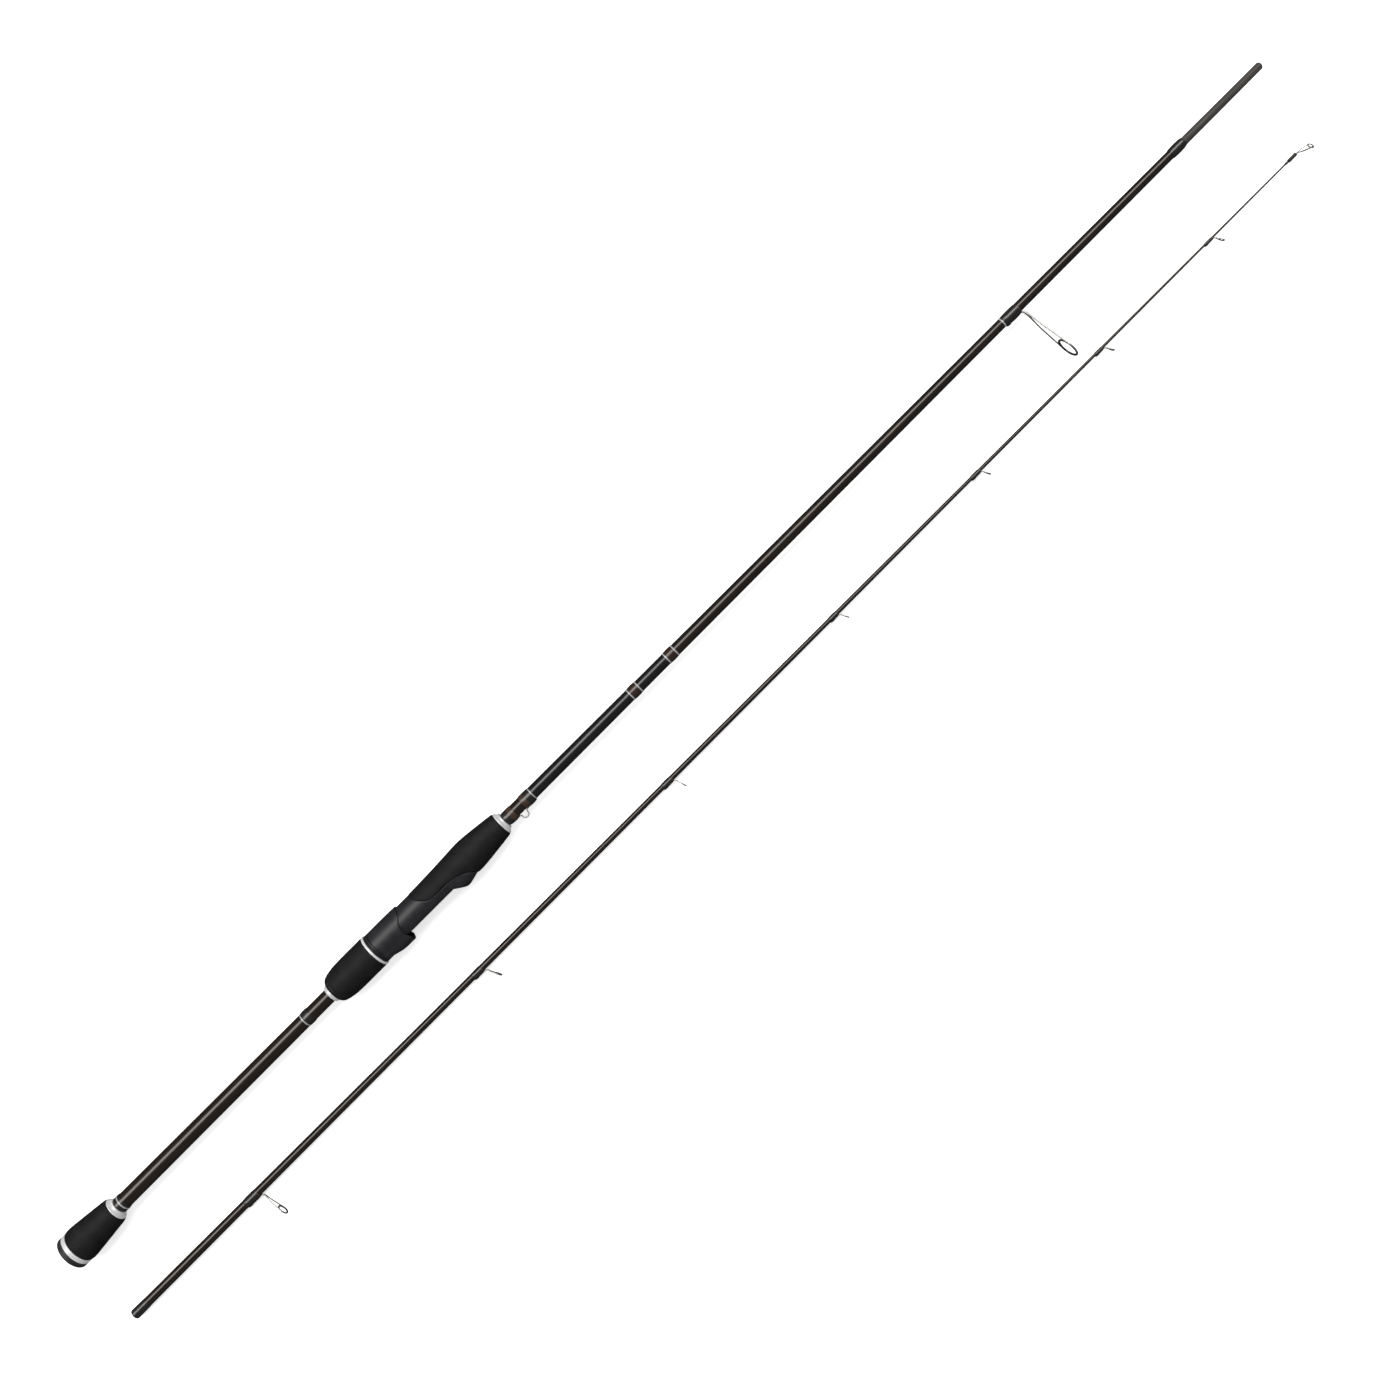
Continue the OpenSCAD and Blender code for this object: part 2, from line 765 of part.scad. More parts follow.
module sliding_hood() {
  rear = hood_start;
  front = hood_mouth + 6;
  color(plastic_color) in_butt_section() difference() {
    intersection() {
      union() {
        turned([
          [0, rear], [hood_d / 2 - 0.2, rear], [hood_d / 2, rear + 0.3],
          [hood_d / 2, hood_mouth - 6], [hood_d / 2 - 0.3, front], [0, front]
        ]);
        intersection() {
          translate([0, -nose_drop, 0]) rod_x(2 * nose_r, rear, front);
          seen_from_above(concat(
            [[rear, 0]],
            smooth([
              [rear, 1 - hood_d / 2],
              [rear + 3.5, 0.1 - hood_d / 2],
              [rear + 9.5, 0.5 - nose_drop - nose_r],
              [rear + 14, 0.05 - nose_drop - nose_r],
              [front, -nose_drop - nose_r]
            ]),
            [[front, 0]]
          ));
        }
      }
      seen_from_above(concat(hood_edge, [[hood_mouth, -hood_d], [rear, -hood_d], [rear, hood_d]]));
    }
    // the way for the seat's body, with a flat in front of the nut's rim
    difference() {
      rod_x(hood_bore_d, rear + hood_lip_length, front + 1);
      translate([nut_front + nut_neck_length + 0.2, -bed_height - slide_gap - 20, -20]) cube([front, 20, 40]);
    }
    rod_x(nut_neck_d + 2 * lip_gap, rear - 1, rear + hood_lip_length + 1);
    // pocket for the reel foot
    intersection() {
      translate([0, -nose_drop, 0]) rod_x(2 * pocket_r, hood_mouth - pocket_depth, front + 1);
      translate([rear, -hood_d - bed_height + 1, -20]) cube([front - rear + 2, hood_d, 40]);
    }
  }
}

module seat_nut() {
  color(plastic_color) in_butt_section() difference() {
    turned([
      [0, rear_grip_start + nut_rear_cap], [nut_tube_d / 2, rear_grip_start + nut_rear_cap],
      [nut_tube_d / 2, nut_collar_start], [hood_d / 2, nut_collar_start],
      [hood_d / 2, nut_front - 1.2], [hood_d / 2 - 0.5, nut_front - 0.9], [hood_d / 2 - 0.5, nut_front - 0.5],
      [hood_d / 2, nut_front - 0.2], [hood_d / 2 - 0.2, nut_front], [nut_neck_d / 2, nut_front],
      [nut_neck_d / 2, nut_front + nut_neck_length - 1.8],
      [nut_rim_d / 2, nut_front + nut_neck_length - 1.8],
      [nut_rim_d / 2, nut_front + nut_neck_length - 0.6],
      [nut_neck_d / 2, nut_front + nut_neck_length], [0, nut_front + nut_neck_length]
    ]);
    rod_x(nut_bore_d, rear_grip_start, nut_front + 5);
  }
}

module rear_grip() {
  color(foam_color) in_butt_section() difference() {
    turned(concat(
      [[0, rear_grip_start]],
      smooth([
        [rear_grip_d / 2 - 3.6, rear_grip_start],
        [rear_grip_d / 2 - 1.7, rear_grip_start + 2.2],
        [rear_grip_d / 2 - 0.7, rear_grip_start + 6.5],
        [rear_grip_d / 2, rear_grip_start + 15],
        [rear_grip_d / 2, rear_grip_end]
      ]),
      [[0, rear_grip_end]]
    ));
    rod_x(nut_tube_d, rear_grip_start + nut_rear_cap, rear_grip_end + 1);
    rod_x(blank_butt_d + 2 * rear_check_gap, rear_grip_start - 1, rear_grip_end);
  }
}

module rear_check() {
  color(metal_color) in_butt_section() difference() {
    turned([
      [0, rear_grip_start - rear_check_length], [rear_check_d / 2 - 0.6, rear_grip_start - rear_check_length],
      [rear_check_d / 2, rear_grip_start - rear_check_length + 1], [rear_check_d / 2, rear_grip_start],
      [0, rear_grip_start]
    ]);
    rod_x(
      2 * (butt_r(rear_grip_start - rear_check_length - hood_back) + rear_check_gap),
      rear_grip_start - 10, rear_grip_start + 1
    );
  }
}

module nut_ring() {
  color(metal_color) in_butt_section() difference() {
    rod_x(rear_grip_d, rear_grip_end, nut_collar_start);
    rod_x(nut_tube_d, rear_grip_end - 1, nut_collar_start + 1);
  }
}

// outside of the tip section's reinforced end, which holds the socket
module tip_socket() {
  seat_end = socket_depth - spigot_land;
  mouth_d = spigot_root_d - (spigot_root_d - spigot_end_d) * ferrule_spare / (spigot_length - spigot_land);
  color(carbon_color) in_tip_section() difference() {
    intersection() {
      tip_tube_outside();
      rod_x(20, 0, socket_tube_length);
    }
    turned([
      [0, -1], [mouth_d / 2 + ferrule_gap, -1], [mouth_d / 2 + ferrule_gap, 0],
      [spigot_end_d / 2 + ferrule_gap, seat_end], [spigot_end_d / 2 + ferrule_gap, socket_depth + 1],
      [0, socket_depth + 1]
    ]);
  }
}

module socket_wrap() {
  color(wrap_color) in_tip_section() difference() {
    turned([
      [0, 0], [socket_wrap_d / 2 - 0.4, 0], [socket_wrap_d / 2, 0.5], [socket_wrap_d / 2, 4],
      [socket_wrap_d / 2 - 0.1, socket_wrap_length - 3], [tip_r(socket_wrap_length), socket_wrap_length],
      [0, socket_wrap_length]
    ]);
    tip_tube_outside();
  }
}

module tip_blank() {
  hollow_end = tip_hollow_share * tip_blank_end;
  color(carbon_color) in_tip_section() difference() {
    intersection() {
      tip_tube_outside();
      rod_x(20, socket_tube_length, tip_length);
    }
    turned([
      [0, socket_tube_length - 1],
      [tip_r(socket_tube_length) - tip_wall, socket_tube_length - 1],
      [tip_r(hollow_end) - tip_wall, hollow_end],
      [0, hollow_end]
    ]);
  }
}

module tip_guide_frame(i) {
  in_tip_section() guide_frame(
    true, tip_length * guide_share[i], guide_height[i], guide_ring_d[i], guide_wire[i],
    guide_lean[i], guide_wrap[i] - 2
  );
}

module tip_guide_ring(i) {
  in_tip_section() guide_ring(
    true, tip_length * guide_share[i], guide_height[i], guide_ring_d[i], guide_wire[i], guide_lean[i]
  );
}

module tip_guide_wrap(i) {
  in_tip_section()
    guide_wrap(true, tip_length * guide_share[i], guide_wire[i], guide_wrap[i], 0.7 * wrap_thickness);
}

module tip_top_tube() {
  color(wrap_color) in_tip_section() difference() {
    turned([
      [0, tip_tube_start], [tip_tube_d / 2 - 0.2, tip_tube_start], [tip_tube_d / 2, tip_tube_start + 0.5],
      [tip_tube_d / 2, tip_tube_start + tip_tube_length - 0.6],
      [tip_tube_d / 2 - 0.4, tip_tube_start + tip_tube_length], [0, tip_tube_start + tip_tube_length]
    ]);
    tip_tube_outside();
  }
}

module tip_top_frame() {
  start = tip_tube_start + tip_tube_length;
  ring = hoop_r(tip_ring_d, tip_wire_d);
  across = ring * sin(50);
  along = ring * cos(50);
  color(metal_color) in_tip_section() difference() {
    union() {
      strut(
        [start, 0.1, 0],
        [tip_ring_at - ring * sin(tip_ring_lean), ring * cos(tip_ring_lean) - tip_ring_height, 0],
        tip_wire_d
      );
      for (side = [-1, 1])
        strut(
          [start, -0.25, side * 0.3],
          [tip_ring_at + along * sin(tip_ring_lean),
           -tip_ring_height - along * cos(tip_ring_lean), side * across],
          tip_wire_d
        );
      translate([tip_ring_at, -tip_ring_height, 0])
        rotate([0, 0, tip_ring_lean])
          rotate([0, 90, 0])
            rotate_extrude() translate([ring, 0]) circle(d = hoop_d(tip_wire_d), $fn = 48);
    }
    translate([tip_ring_at, -tip_ring_height, 0])
      rotate([0, 0, tip_ring_lean])
        rod_x(2 * insert_r(tip_ring_d, tip_wire_d), -tip_wire_d, tip_wire_d);
    rod_x(tip_tube_d, tip_tube_start, start);
  }
}

module tip_top_ring() {
  outer = insert_r(tip_ring_d, tip_wire_d);
  half = 0.62 * tip_wire_d;
  bore = outer - 0.85 * tip_wire_d;
  chamfer = 0.35 * tip_wire_d;
  color(ceramic_color) in_tip_section()
    translate([tip_ring_at, -tip_ring_height, 0])
      rotate([0, 0, tip_ring_lean])
        turned([
          [outer, -half], [bore + chamfer, -half], [bore, chamfer - half],
          [bore, half - chamfer], [bore + chamfer, half], [outer, half]
        ]);
}

module tip_top_wrap() {
  color(wrap_color) in_tip_section()
    plain_wrap(true, tip_tube_start - 3.4, tip_tube_start, 0.8 * wrap_thickness);
}

butt_cap();
butt_ring();
butt_grip();
butt_check();
butt_wrap();
butt_band();
butt_blank();
rear_wrap();
rear_band();
reel_seat();
seat_arbors();
foregrip();
foregrip_check();
keeper_wrap_rear();
keeper_wrap_front();
keeper_band();
hook_keeper();
middle_wrap_rear();
middle_wrap_front();
middle_bands();
butt_guide_frame();
butt_guide_ring();
butt_guide_wrap();
butt_guide_band();
ferrule_wrap();
sliding_hood();
seat_nut();
rear_grip();
rear_check();
nut_ring();
tip_socket();
socket_wrap();
tip_blank();
tip_guide_frame(0);  // tip_guide_1_frame
tip_guide_ring(0);  // tip_guide_1_ring
tip_guide_wrap(0);  // tip_guide_1_wrap
tip_guide_frame(1);  // tip_guide_2_frame
tip_guide_ring(1);  // tip_guide_2_ring
tip_guide_wrap(1);  // tip_guide_2_wrap
tip_guide_frame(2);  // tip_guide_3_frame
tip_guide_ring(2);  // tip_guide_3_ring
tip_guide_wrap(2);  // tip_guide_3_wrap
tip_guide_frame(3);  // tip_guide_4_frame
tip_guide_ring(3);  // tip_guide_4_ring
tip_guide_wrap(3);  // tip_guide_4_wrap
tip_guide_frame(4);  // tip_guide_5_frame
tip_guide_ring(4);  // tip_guide_5_ring
tip_guide_wrap(4);  // tip_guide_5_wrap
tip_guide_frame(5);  // tip_guide_6_frame
tip_guide_ring(5);  // tip_guide_6_ring
tip_guide_wrap(5);  // tip_guide_6_wrap
tip_guide_frame(6);  // tip_guide_7_frame
tip_guide_ring(6);  // tip_guide_7_ring
tip_guide_wrap(6);  // tip_guide_7_wrap
tip_top_tube();
tip_top_frame();
tip_top_ring();
tip_top_wrap();
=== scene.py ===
import json
import math
import bpy
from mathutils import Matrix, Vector

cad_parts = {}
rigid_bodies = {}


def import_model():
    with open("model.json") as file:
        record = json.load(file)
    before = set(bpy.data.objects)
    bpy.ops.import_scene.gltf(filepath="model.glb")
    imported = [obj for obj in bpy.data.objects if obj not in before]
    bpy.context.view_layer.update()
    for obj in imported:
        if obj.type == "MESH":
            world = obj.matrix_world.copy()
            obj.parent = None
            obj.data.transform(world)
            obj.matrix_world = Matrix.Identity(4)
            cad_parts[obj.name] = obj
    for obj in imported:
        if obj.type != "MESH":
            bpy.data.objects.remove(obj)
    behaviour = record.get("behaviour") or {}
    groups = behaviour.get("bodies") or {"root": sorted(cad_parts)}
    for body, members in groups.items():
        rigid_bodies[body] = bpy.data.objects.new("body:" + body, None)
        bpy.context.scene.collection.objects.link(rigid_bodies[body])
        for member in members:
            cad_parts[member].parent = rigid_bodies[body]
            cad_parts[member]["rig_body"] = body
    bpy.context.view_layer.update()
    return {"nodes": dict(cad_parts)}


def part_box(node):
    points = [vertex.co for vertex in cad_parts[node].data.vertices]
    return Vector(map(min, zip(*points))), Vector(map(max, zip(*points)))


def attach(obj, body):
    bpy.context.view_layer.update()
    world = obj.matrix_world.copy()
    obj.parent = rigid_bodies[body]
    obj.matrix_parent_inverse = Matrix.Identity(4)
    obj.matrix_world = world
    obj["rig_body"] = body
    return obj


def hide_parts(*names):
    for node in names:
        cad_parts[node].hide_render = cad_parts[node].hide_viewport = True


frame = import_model()
print("frame loaded:", len(frame["nodes"]), "nodes")

mm = 0.001
nodes = frame["nodes"]


# working habits: selecting, finishing and placing a piece
def deselectAll():
    active = bpy.context.view_layer.objects.active
    if active and active.mode != "OBJECT":
        bpy.ops.object.mode_set(mode="OBJECT")
    bpy.ops.object.select_all(action="DESELECT")


def pick(*pieces):
    deselectAll()
    for piece in pieces:
        piece.select_set(True)
    bpy.context.view_layer.objects.active = pieces[0]


def applyModifier(piece, kind, **settings):
    pick(piece)
    modifier = piece.modifiers.new(kind.title(), kind)
    for key, value in settings.items():
        setattr(modifier, key, value)
    bpy.ops.object.modifier_apply(modifier=modifier.name)


def roundEdges(piece, width, segments=2, overDegrees=30):
    applyModifier(
        piece, "BEVEL", width=width, segments=segments,
        limit_method="ANGLE", angle_limit=math.radians(overDegrees),
    )


def settle(piece):  # origin to the world's, with the place kept in the mesh
    pick(piece)
    bpy.ops.object.transform_apply(location=True, rotation=True, scale=True)


def fit(piece, name, finish, slotName, *replaced, smoothUnder=35):
    settle(piece)
    piece.name = name
    bpy.ops.object.shade_smooth_by_angle(angle=math.radians(smoothUnder))
    piece.data.materials.clear()
    piece.data.materials.append(finish)
    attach(piece, nodes[replaced[0]]["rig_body"])
    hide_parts(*replaced)
    return piece


def axisStart(node):  # where the node's rear end meets the line it is turned about
    low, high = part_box(node)
    return Vector((low.x, (low.y + high.y) / 2, (low.z + high.z) / 2))


def lengthOf(node):
    low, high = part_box(node)
    return high.x - low.x


def radiusOf(node):
    low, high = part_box(node)
    return (high.z - low.z) / 2


# shaping: turned work, bent wire, welded wire and softened copies
def turn(start, profile, sides=72, ends="joined"):
    # a ring of points is extruded from station to station: (distance along, radius)
    deselectAll()
    along, radius = profile[0]
    bpy.ops.mesh.primitive_circle_add(
        vertices=sides, radius=radius, rotation=(0, math.pi / 2, 0),
        location=(start[0] + along, start[1], start[2]),
    )
    piece = bpy.context.object
    bpy.ops.object.mode_set(mode="EDIT")
    bpy.ops.mesh.select_all(action="SELECT")
    stations = profile[1:] + (profile[:1] if ends == "joined" else [])
    for nextAlong, nextRadius in stations:
        bpy.ops.mesh.extrude_region_move(
            TRANSFORM_OT_translate={"value": (nextAlong - along, 0, 0)}
        )
        share = nextRadius / radius
        bpy.ops.transform.resize(
            value=(1, share, share),
            center_override=(start[0] + nextAlong, start[1], start[2]),
        )
        along, radius = nextAlong, nextRadius
    bpy.ops.mesh.select_all(action="SELECT")
    bpy.ops.mesh.remove_doubles(threshold=1e-7)
    if ends == "filled":
        bpy.ops.mesh.fill_holes(sides=0)
        bpy.ops.mesh.select_all(action="SELECT")
    bpy.ops.mesh.normals_make_consistent(inside=False)
    bpy.ops.object.mode_set(mode="OBJECT")
    return piece


def arc(centreAlong, centreRadius, size, fromDegrees, toDegrees, steps=5):
    # points of a rounded corner in a profile
    turns = [fromDegrees + (toDegrees - fromDegrees) * k / steps for k in range(steps + 1)]
    return [
        (centreAlong + size * math.cos(math.radians(a)), centreRadius + size * math.sin(math.radians(a)))
        for a in turns
    ]


def curveThrough(points, steps=6):  # a smooth line through a short list of (along, radius)
    line = []
    last = len(points) - 1
    for i in range(last):
        a, b, c, d = (points[max(0, min(last, k))] for k in (i - 1, i, i + 1, i + 2))
        for k in range(steps):
            t = k / steps
            line.append(tuple(
                0.5 * (2 * q + (r - p) * t + (2 * p - 5 * q + 4 * r - s) * t * t
                       + (3 * q - p - 3 * r + s) * t ** 3)
                for p, q, r, s in zip(a, b, c, d)
            ))
    return line + [tuple(points[-1])]


def bentWire(points, thickness):
    deselectAll()
    bpy.ops.curve.primitive_bezier_curve_add(location=(0, 0, 0))
    wire = bpy.context.object
    line = wire.data.splines[0]
    line.bezier_points.add(len(points) - 2)
    for knot, place in zip(line.bezier_points, points):
        knot.co = place
        knot.handle_left_type = "AUTO"
        knot.handle_right_type = "AUTO"
    wire.data.bevel_depth = thickness / 2
    wire.data.bevel_resolution = 5
    wire.data.resolution_u = 10
    wire.data.use_fill_caps = True
    bpy.ops.object.convert(target="MESH")
    return bpy.context.object


def joinUp(parts):
    pick(*parts)
    bpy.ops.object.join()
    return bpy.context.object


def weld(piece, grain, rounds=4):  # runs separate wires together with small fillets
    settle(piece)
    applyModifier(piece, "REMESH", mode="VOXEL", voxel_size=grain)
    applyModifier(piece, "SMOOTH", factor=0.5, iterations=rounds)
    return piece


def softCopy(node, grain, rounds):  # the solid again, with its moulded edges rounded
    piece = nodes[node].copy()
    piece.data = nodes[node].data.copy()
    for key in list(piece.keys()):
        del piece[key]
    piece.parent = None
    bpy.context.scene.collection.objects.link(piece)
    pick(piece)
    bpy.ops.object.mode_set(mode="EDIT")
    bpy.ops.mesh.select_all(action="SELECT")
    bpy.ops.mesh.remove_doubles(threshold=1e-6)
    bpy.ops.object.mode_set(mode="OBJECT")
    return weld(piece, grain, rounds)


# finishes
def addNode(tree, kind, place=(0, 0), **settings):
    node = tree.nodes.new(kind)
    node.location = place
    for key, value in settings.items():
        if hasattr(node, key):
            setattr(node, key, value)
        else:
            node.inputs[key.replace("_", " ")].default_value = value
    return node


def newEffect(name, inputs, outputs):
    # a node group with named sockets, its inner ends returned
    group = bpy.data.node_groups.new(name, "ShaderNodeTree")
    for label, value in inputs.items():
        socket = group.interface.new_socket(label, in_out="INPUT", socket_type="NodeSocketFloat")
        socket.default_value = value
    for label in outputs:
        group.interface.new_socket(label, in_out="OUTPUT", socket_type="NodeSocketFloat")
    return group, addNode(group, "NodeGroupInput", (-900, 0)), addNode(group, "NodeGroupOutput", (600, 0))


def link(tree, source, target):
    tree.links.new(source, target)


def blendMath(tree, kind, first, second):
    node = addNode(tree, "ShaderNodeMath", operation=kind)
    for k, value in enumerate((first, second)):
        if isinstance(value, (int, float)):
            node.inputs[k].default_value = value
        else:
            tree.links.new(value, node.inputs[k])
    return node.outputs[0]


# closed foam cells with a slow mottle
foamCells, given, result = newEffect("foamCells", {"cellScale": 2600.0}, ["pits", "mottle"])
spot = addNode(foamCells, "ShaderNodeTexCoord", (-900, 200))
cells = addNode(foamCells, "ShaderNodeTexVoronoi", (-500, 200))
grit = addNode(foamCells, "ShaderNodeTexNoise", (-500, -60), Scale=900.0, Detail=3.0)
patches = addNode(foamCells, "ShaderNodeTexNoise", (-500, -320), Scale=140.0, Detail=2.0)
link(foamCells, spot.outputs["Object"], cells.inputs["Vector"])
link(foamCells, given.outputs["cellScale"], cells.inputs["Scale"])
link(foamCells, spot.outputs["Object"], grit.inputs["Vector"])
link(foamCells, spot.outputs["Object"], patches.inputs["Vector"])
pits = blendMath(foamCells, "MULTIPLY", cells.outputs["Distance"], grit.outputs["Fac"])
link(foamCells, pits, result.inputs["pits"])
link(foamCells, patches.outputs["Fac"], result.inputs["mottle"])

# turns of thread side by side, seen through the lacquer
threadTurns, given, result = newEffect("threadTurns", {"turnsPerMetre": 4200.0}, ["ridges", "fuzz"])
spot = addNode(threadTurns, "ShaderNodeTexCoord", (-900, 200))
apart = addNode(threadTurns, "ShaderNodeSeparateXYZ", (-700, 200))
fuzz = addNode(threadTurns, "ShaderNodeTexNoise", (-500, -200), Scale=1300.0, Detail=3.0)
link(threadTurns, spot.outputs["Object"], apart.inputs[0])
link(threadTurns, spot.outputs["Object"], fuzz.inputs["Vector"])
phase = blendMath(threadTurns, "MULTIPLY", apart.outputs["X"], given.outputs["turnsPerMetre"])
wave = blendMath(threadTurns, "PINGPONG", phase, 0.5)
link(threadTurns, blendMath(threadTurns, "MULTIPLY", wave, 2.0), result.inputs["ridges"])
link(threadTurns, fuzz.outputs["Fac"], result.inputs["fuzz"])

# fibres that run along the tube, the spiral of the winding tape and a slow haze
tubeGrain, given, result = newEffect("tubeGrain", {"tapePerMetre": 380.0}, ["fibres", "tape", "haze"])
spot = addNode(tubeGrain, "ShaderNodeTexCoord", (-900, 200))
stretch = addNode(tubeGrain, "ShaderNodeMapping", (-700, 200), Scale=(40.0, 2600.0, 2600.0))
fibres = addNode(tubeGrain, "ShaderNodeTexNoise", (-500, 200), Scale=1.0, Detail=4.0)
haze = addNode(tubeGrain, "ShaderNodeTexNoise", (-500, -60), Scale=45.0, Detail=3.0)
apart = addNode(tubeGrain, "ShaderNodeSeparateXYZ", (-700, -300))
link(tubeGrain, spot.outputs["Object"], stretch.inputs["Vector"])
link(tubeGrain, stretch.outputs["Vector"], fibres.inputs["Vector"])
link(tubeGrain, spot.outputs["Object"], haze.inputs["Vector"])
link(tubeGrain, spot.outputs["Object"], apart.inputs[0])
phase = blendMath(tubeGrain, "MULTIPLY", apart.outputs["X"], given.outputs["tapePerMetre"])
link(tubeGrain, fibres.outputs["Fac"], result.inputs["fibres"])
link(tubeGrain, blendMath(tubeGrain, "PINGPONG", phase, 0.5), result.inputs["tape"])
link(tubeGrain, haze.outputs["Fac"], result.inputs["haze"])

# fine marks of the lathe round a metal piece, and finger marks over them
latheMarks, given, result = newEffect("latheMarks", {"marksPerMetre": 9000.0}, ["marks", "touch"])
spot = addNode(latheMarks, "ShaderNodeTexCoord", (-900, 200))
stretch = addNode(latheMarks, "ShaderNodeMapping", (-700, 200), Scale=(1.0, 0.02, 0.02))
marks = addNode(latheMarks, "ShaderNodeTexNoise", (-500, 200), Detail=2.0)
touch = addNode(latheMarks, "ShaderNodeTexNoise", (-500, -60), Scale=220.0, Detail=4.0)
link(latheMarks, spot.outputs["Object"], stretch.inputs["Vector"])
link(latheMarks, stretch.outputs["Vector"], marks.inputs["Vector"])
link(latheMarks, given.outputs["marksPerMetre"], marks.inputs["Scale"])
link(latheMarks, spot.outputs["Object"], touch.inputs["Vector"])
link(latheMarks, marks.outputs["Fac"], result.inputs["marks"])
link(latheMarks, touch.outputs["Fac"], result.inputs["touch"])


def newFinish(name, **settings):
    finish = bpy.data.materials.new(name)
    finish.use_nodes = True
    tree = finish.node_tree
    shader = next(n for n in tree.nodes if n.type == "BSDF_PRINCIPLED")
    for key, value in settings.items():
        shader.inputs[key.replace("_", " ")].default_value = value
    return finish, tree, shader


def useEffect(tree, effect, **values):
    node = addNode(tree, "ShaderNodeGroup", (-900, 0))
    node.node_tree = effect
    for key, value in values.items():
        node.inputs[key].default_value = value
    return node


def colourBetween(tree, mask, first, second, low=0.0, high=1.0):
    ramp = addNode(tree, "ShaderNodeValToRGB", (-500, 200))
    ramp.color_ramp.elements[0].position = low
    ramp.color_ramp.elements[0].color = (*first, 1)
    ramp.color_ramp.elements[1].position = high
    ramp.color_ramp.elements[1].color = (*second, 1)
    tree.links.new(mask, ramp.inputs["Fac"])
    return ramp.outputs["Color"]


def valueBetween(tree, mask, low, high):
    node = addNode(tree, "ShaderNodeMapRange", (-500, -100))
    node.inputs["To Min"].default_value = low
    node.inputs["To Max"].default_value = high
    tree.links.new(mask, node.inputs["Value"])
    return node.outputs["Result"]


def addBump(tree, shader, height, strength, distance):
    bump = addNode(tree, "ShaderNodeBump", (-300, -400), Strength=strength, Distance=distance)
    link(tree, height, bump.inputs["Height"])
    link(tree, bump.outputs["Normal"], shader.inputs["Normal"])


def paint(tree, shader, colourMask, roughMask, look):
    low, high = look.get("spread", (0.3, 0.7))
    colour = colourBetween(tree, colourMask, look["dark"], look["light"], low, high)
    rough = valueBetween(tree, roughMask, look["smoothest"], look["roughest"])
    link(tree, colour, shader.inputs["Base Color"])
    link(tree, rough, shader.inputs["Roughness"])


foamLook = {
    "dark": (0.0024, 0.0024, 0.0032), "light": (0.0078, 0.0078, 0.0096), "spread": (0.35, 0.95),
    "smoothest": 0.6, "roughest": 0.8, "cells": 2600.0, "sheen": 0.25,
    # the weight of the painted shade in the cells' pits
    "pitShade": 0.6, "relief": 0.5, "depth": 0.0002,
}


def foamFinish():
    finish, tree, shader = newFinish("blackGripFoam")
    shader.inputs["Specular IOR Level"].default_value = foamLook["sheen"]
    effect = useEffect(tree, foamCells, cellScale=foamLook["cells"])
    # the colour is darker in the cells' pits, where the bump is hollow: painted shade, added to the random
    # mottle
    pitShade = blendMath(tree, "MULTIPLY", effect.outputs["pits"], foamLook["pitShade"])
    shade = blendMath(tree, "ADD", effect.outputs["mottle"], pitShade)
    paint(tree, shader, shade, effect.outputs["pits"], foamLook)
    addBump(tree, shader, effect.outputs["pits"], foamLook["relief"], foamLook["depth"])
    return finish


rubberLook = {
    "dark": (0.011, 0.012, 0.014), "light": (0.02, 0.021, 0.024),
    "smoothest": 0.42, "roughest": 0.62, "cells": 1500.0, "relief": 0.15, "depth": 0.0001,
}


def rubberFinish():
    finish, tree, shader = newFinish("charcoalRubber")
    effect = useEffect(tree, foamCells, cellScale=rubberLook["cells"])
    paint(tree, shader, effect.outputs["mottle"], effect.outputs["mottle"], rubberLook)
    addBump(tree, shader, effect.outputs["pits"], rubberLook["relief"], rubberLook["depth"])
    return finish


metalMarks = {"perMetre": 9000.0, "relief": 0.12, "depth": 0.00005}


def metalFinish(name, metallic, **look):
    finish, tree, shader = newFinish(name, Metallic=metallic)
    effect = useEffect(tree, latheMarks, marksPerMetre=metalMarks["perMetre"])
    paint(tree, shader, effect.outputs["touch"], effect.outputs["touch"], look)
    addBump(tree, shader, effect.outputs["marks"], metalMarks["relief"], metalMarks["depth"])
    return finish


plasticLook = {
    "dark": (0.0095, 0.009, 0.0118), "light": (0.0155, 0.0148, 0.0185),
    "smoothest": 0.36, "roughest": 0.48, "marks": 2400.0,
    "grain": 3800.0, "relief": 0.12, "depth": 0.00006,
}


def plasticFinish():
    finish, tree, shader = newFinish("seatPlastic")
    effect = useEffect(tree, latheMarks, marksPerMetre=plasticLook["marks"])
    grain = addNode(tree, "ShaderNodeTexNoise", (-900, -300), Scale=plasticLook["grain"], Detail=2.0)
    spot = addNode(tree, "ShaderNodeTexCoord", (-1100, -300))
    link(tree, spot.outputs["Object"], grain.inputs["Vector"])
    paint(tree, shader, effect.outputs["touch"], effect.outputs["touch"], plasticLook)
    addBump(tree, shader, grain.outputs["Fac"], plasticLook["relief"], plasticLook["depth"])
    return finish


tubeLook = {
    "coatRoughness": 0.09, "coatIndex": 1.52, "coat": 0.9, "tapePerMetre": 380.0, "tape": 0.5,
    "changeOver": 0.0004, "bareEdge": 0.0003, "glossy": (0.24, 0.34), "bare": (0.48, 0.62),
    "spread": (0.35, 0.7), "relief": 0.06, "depth": 0.00005,
}


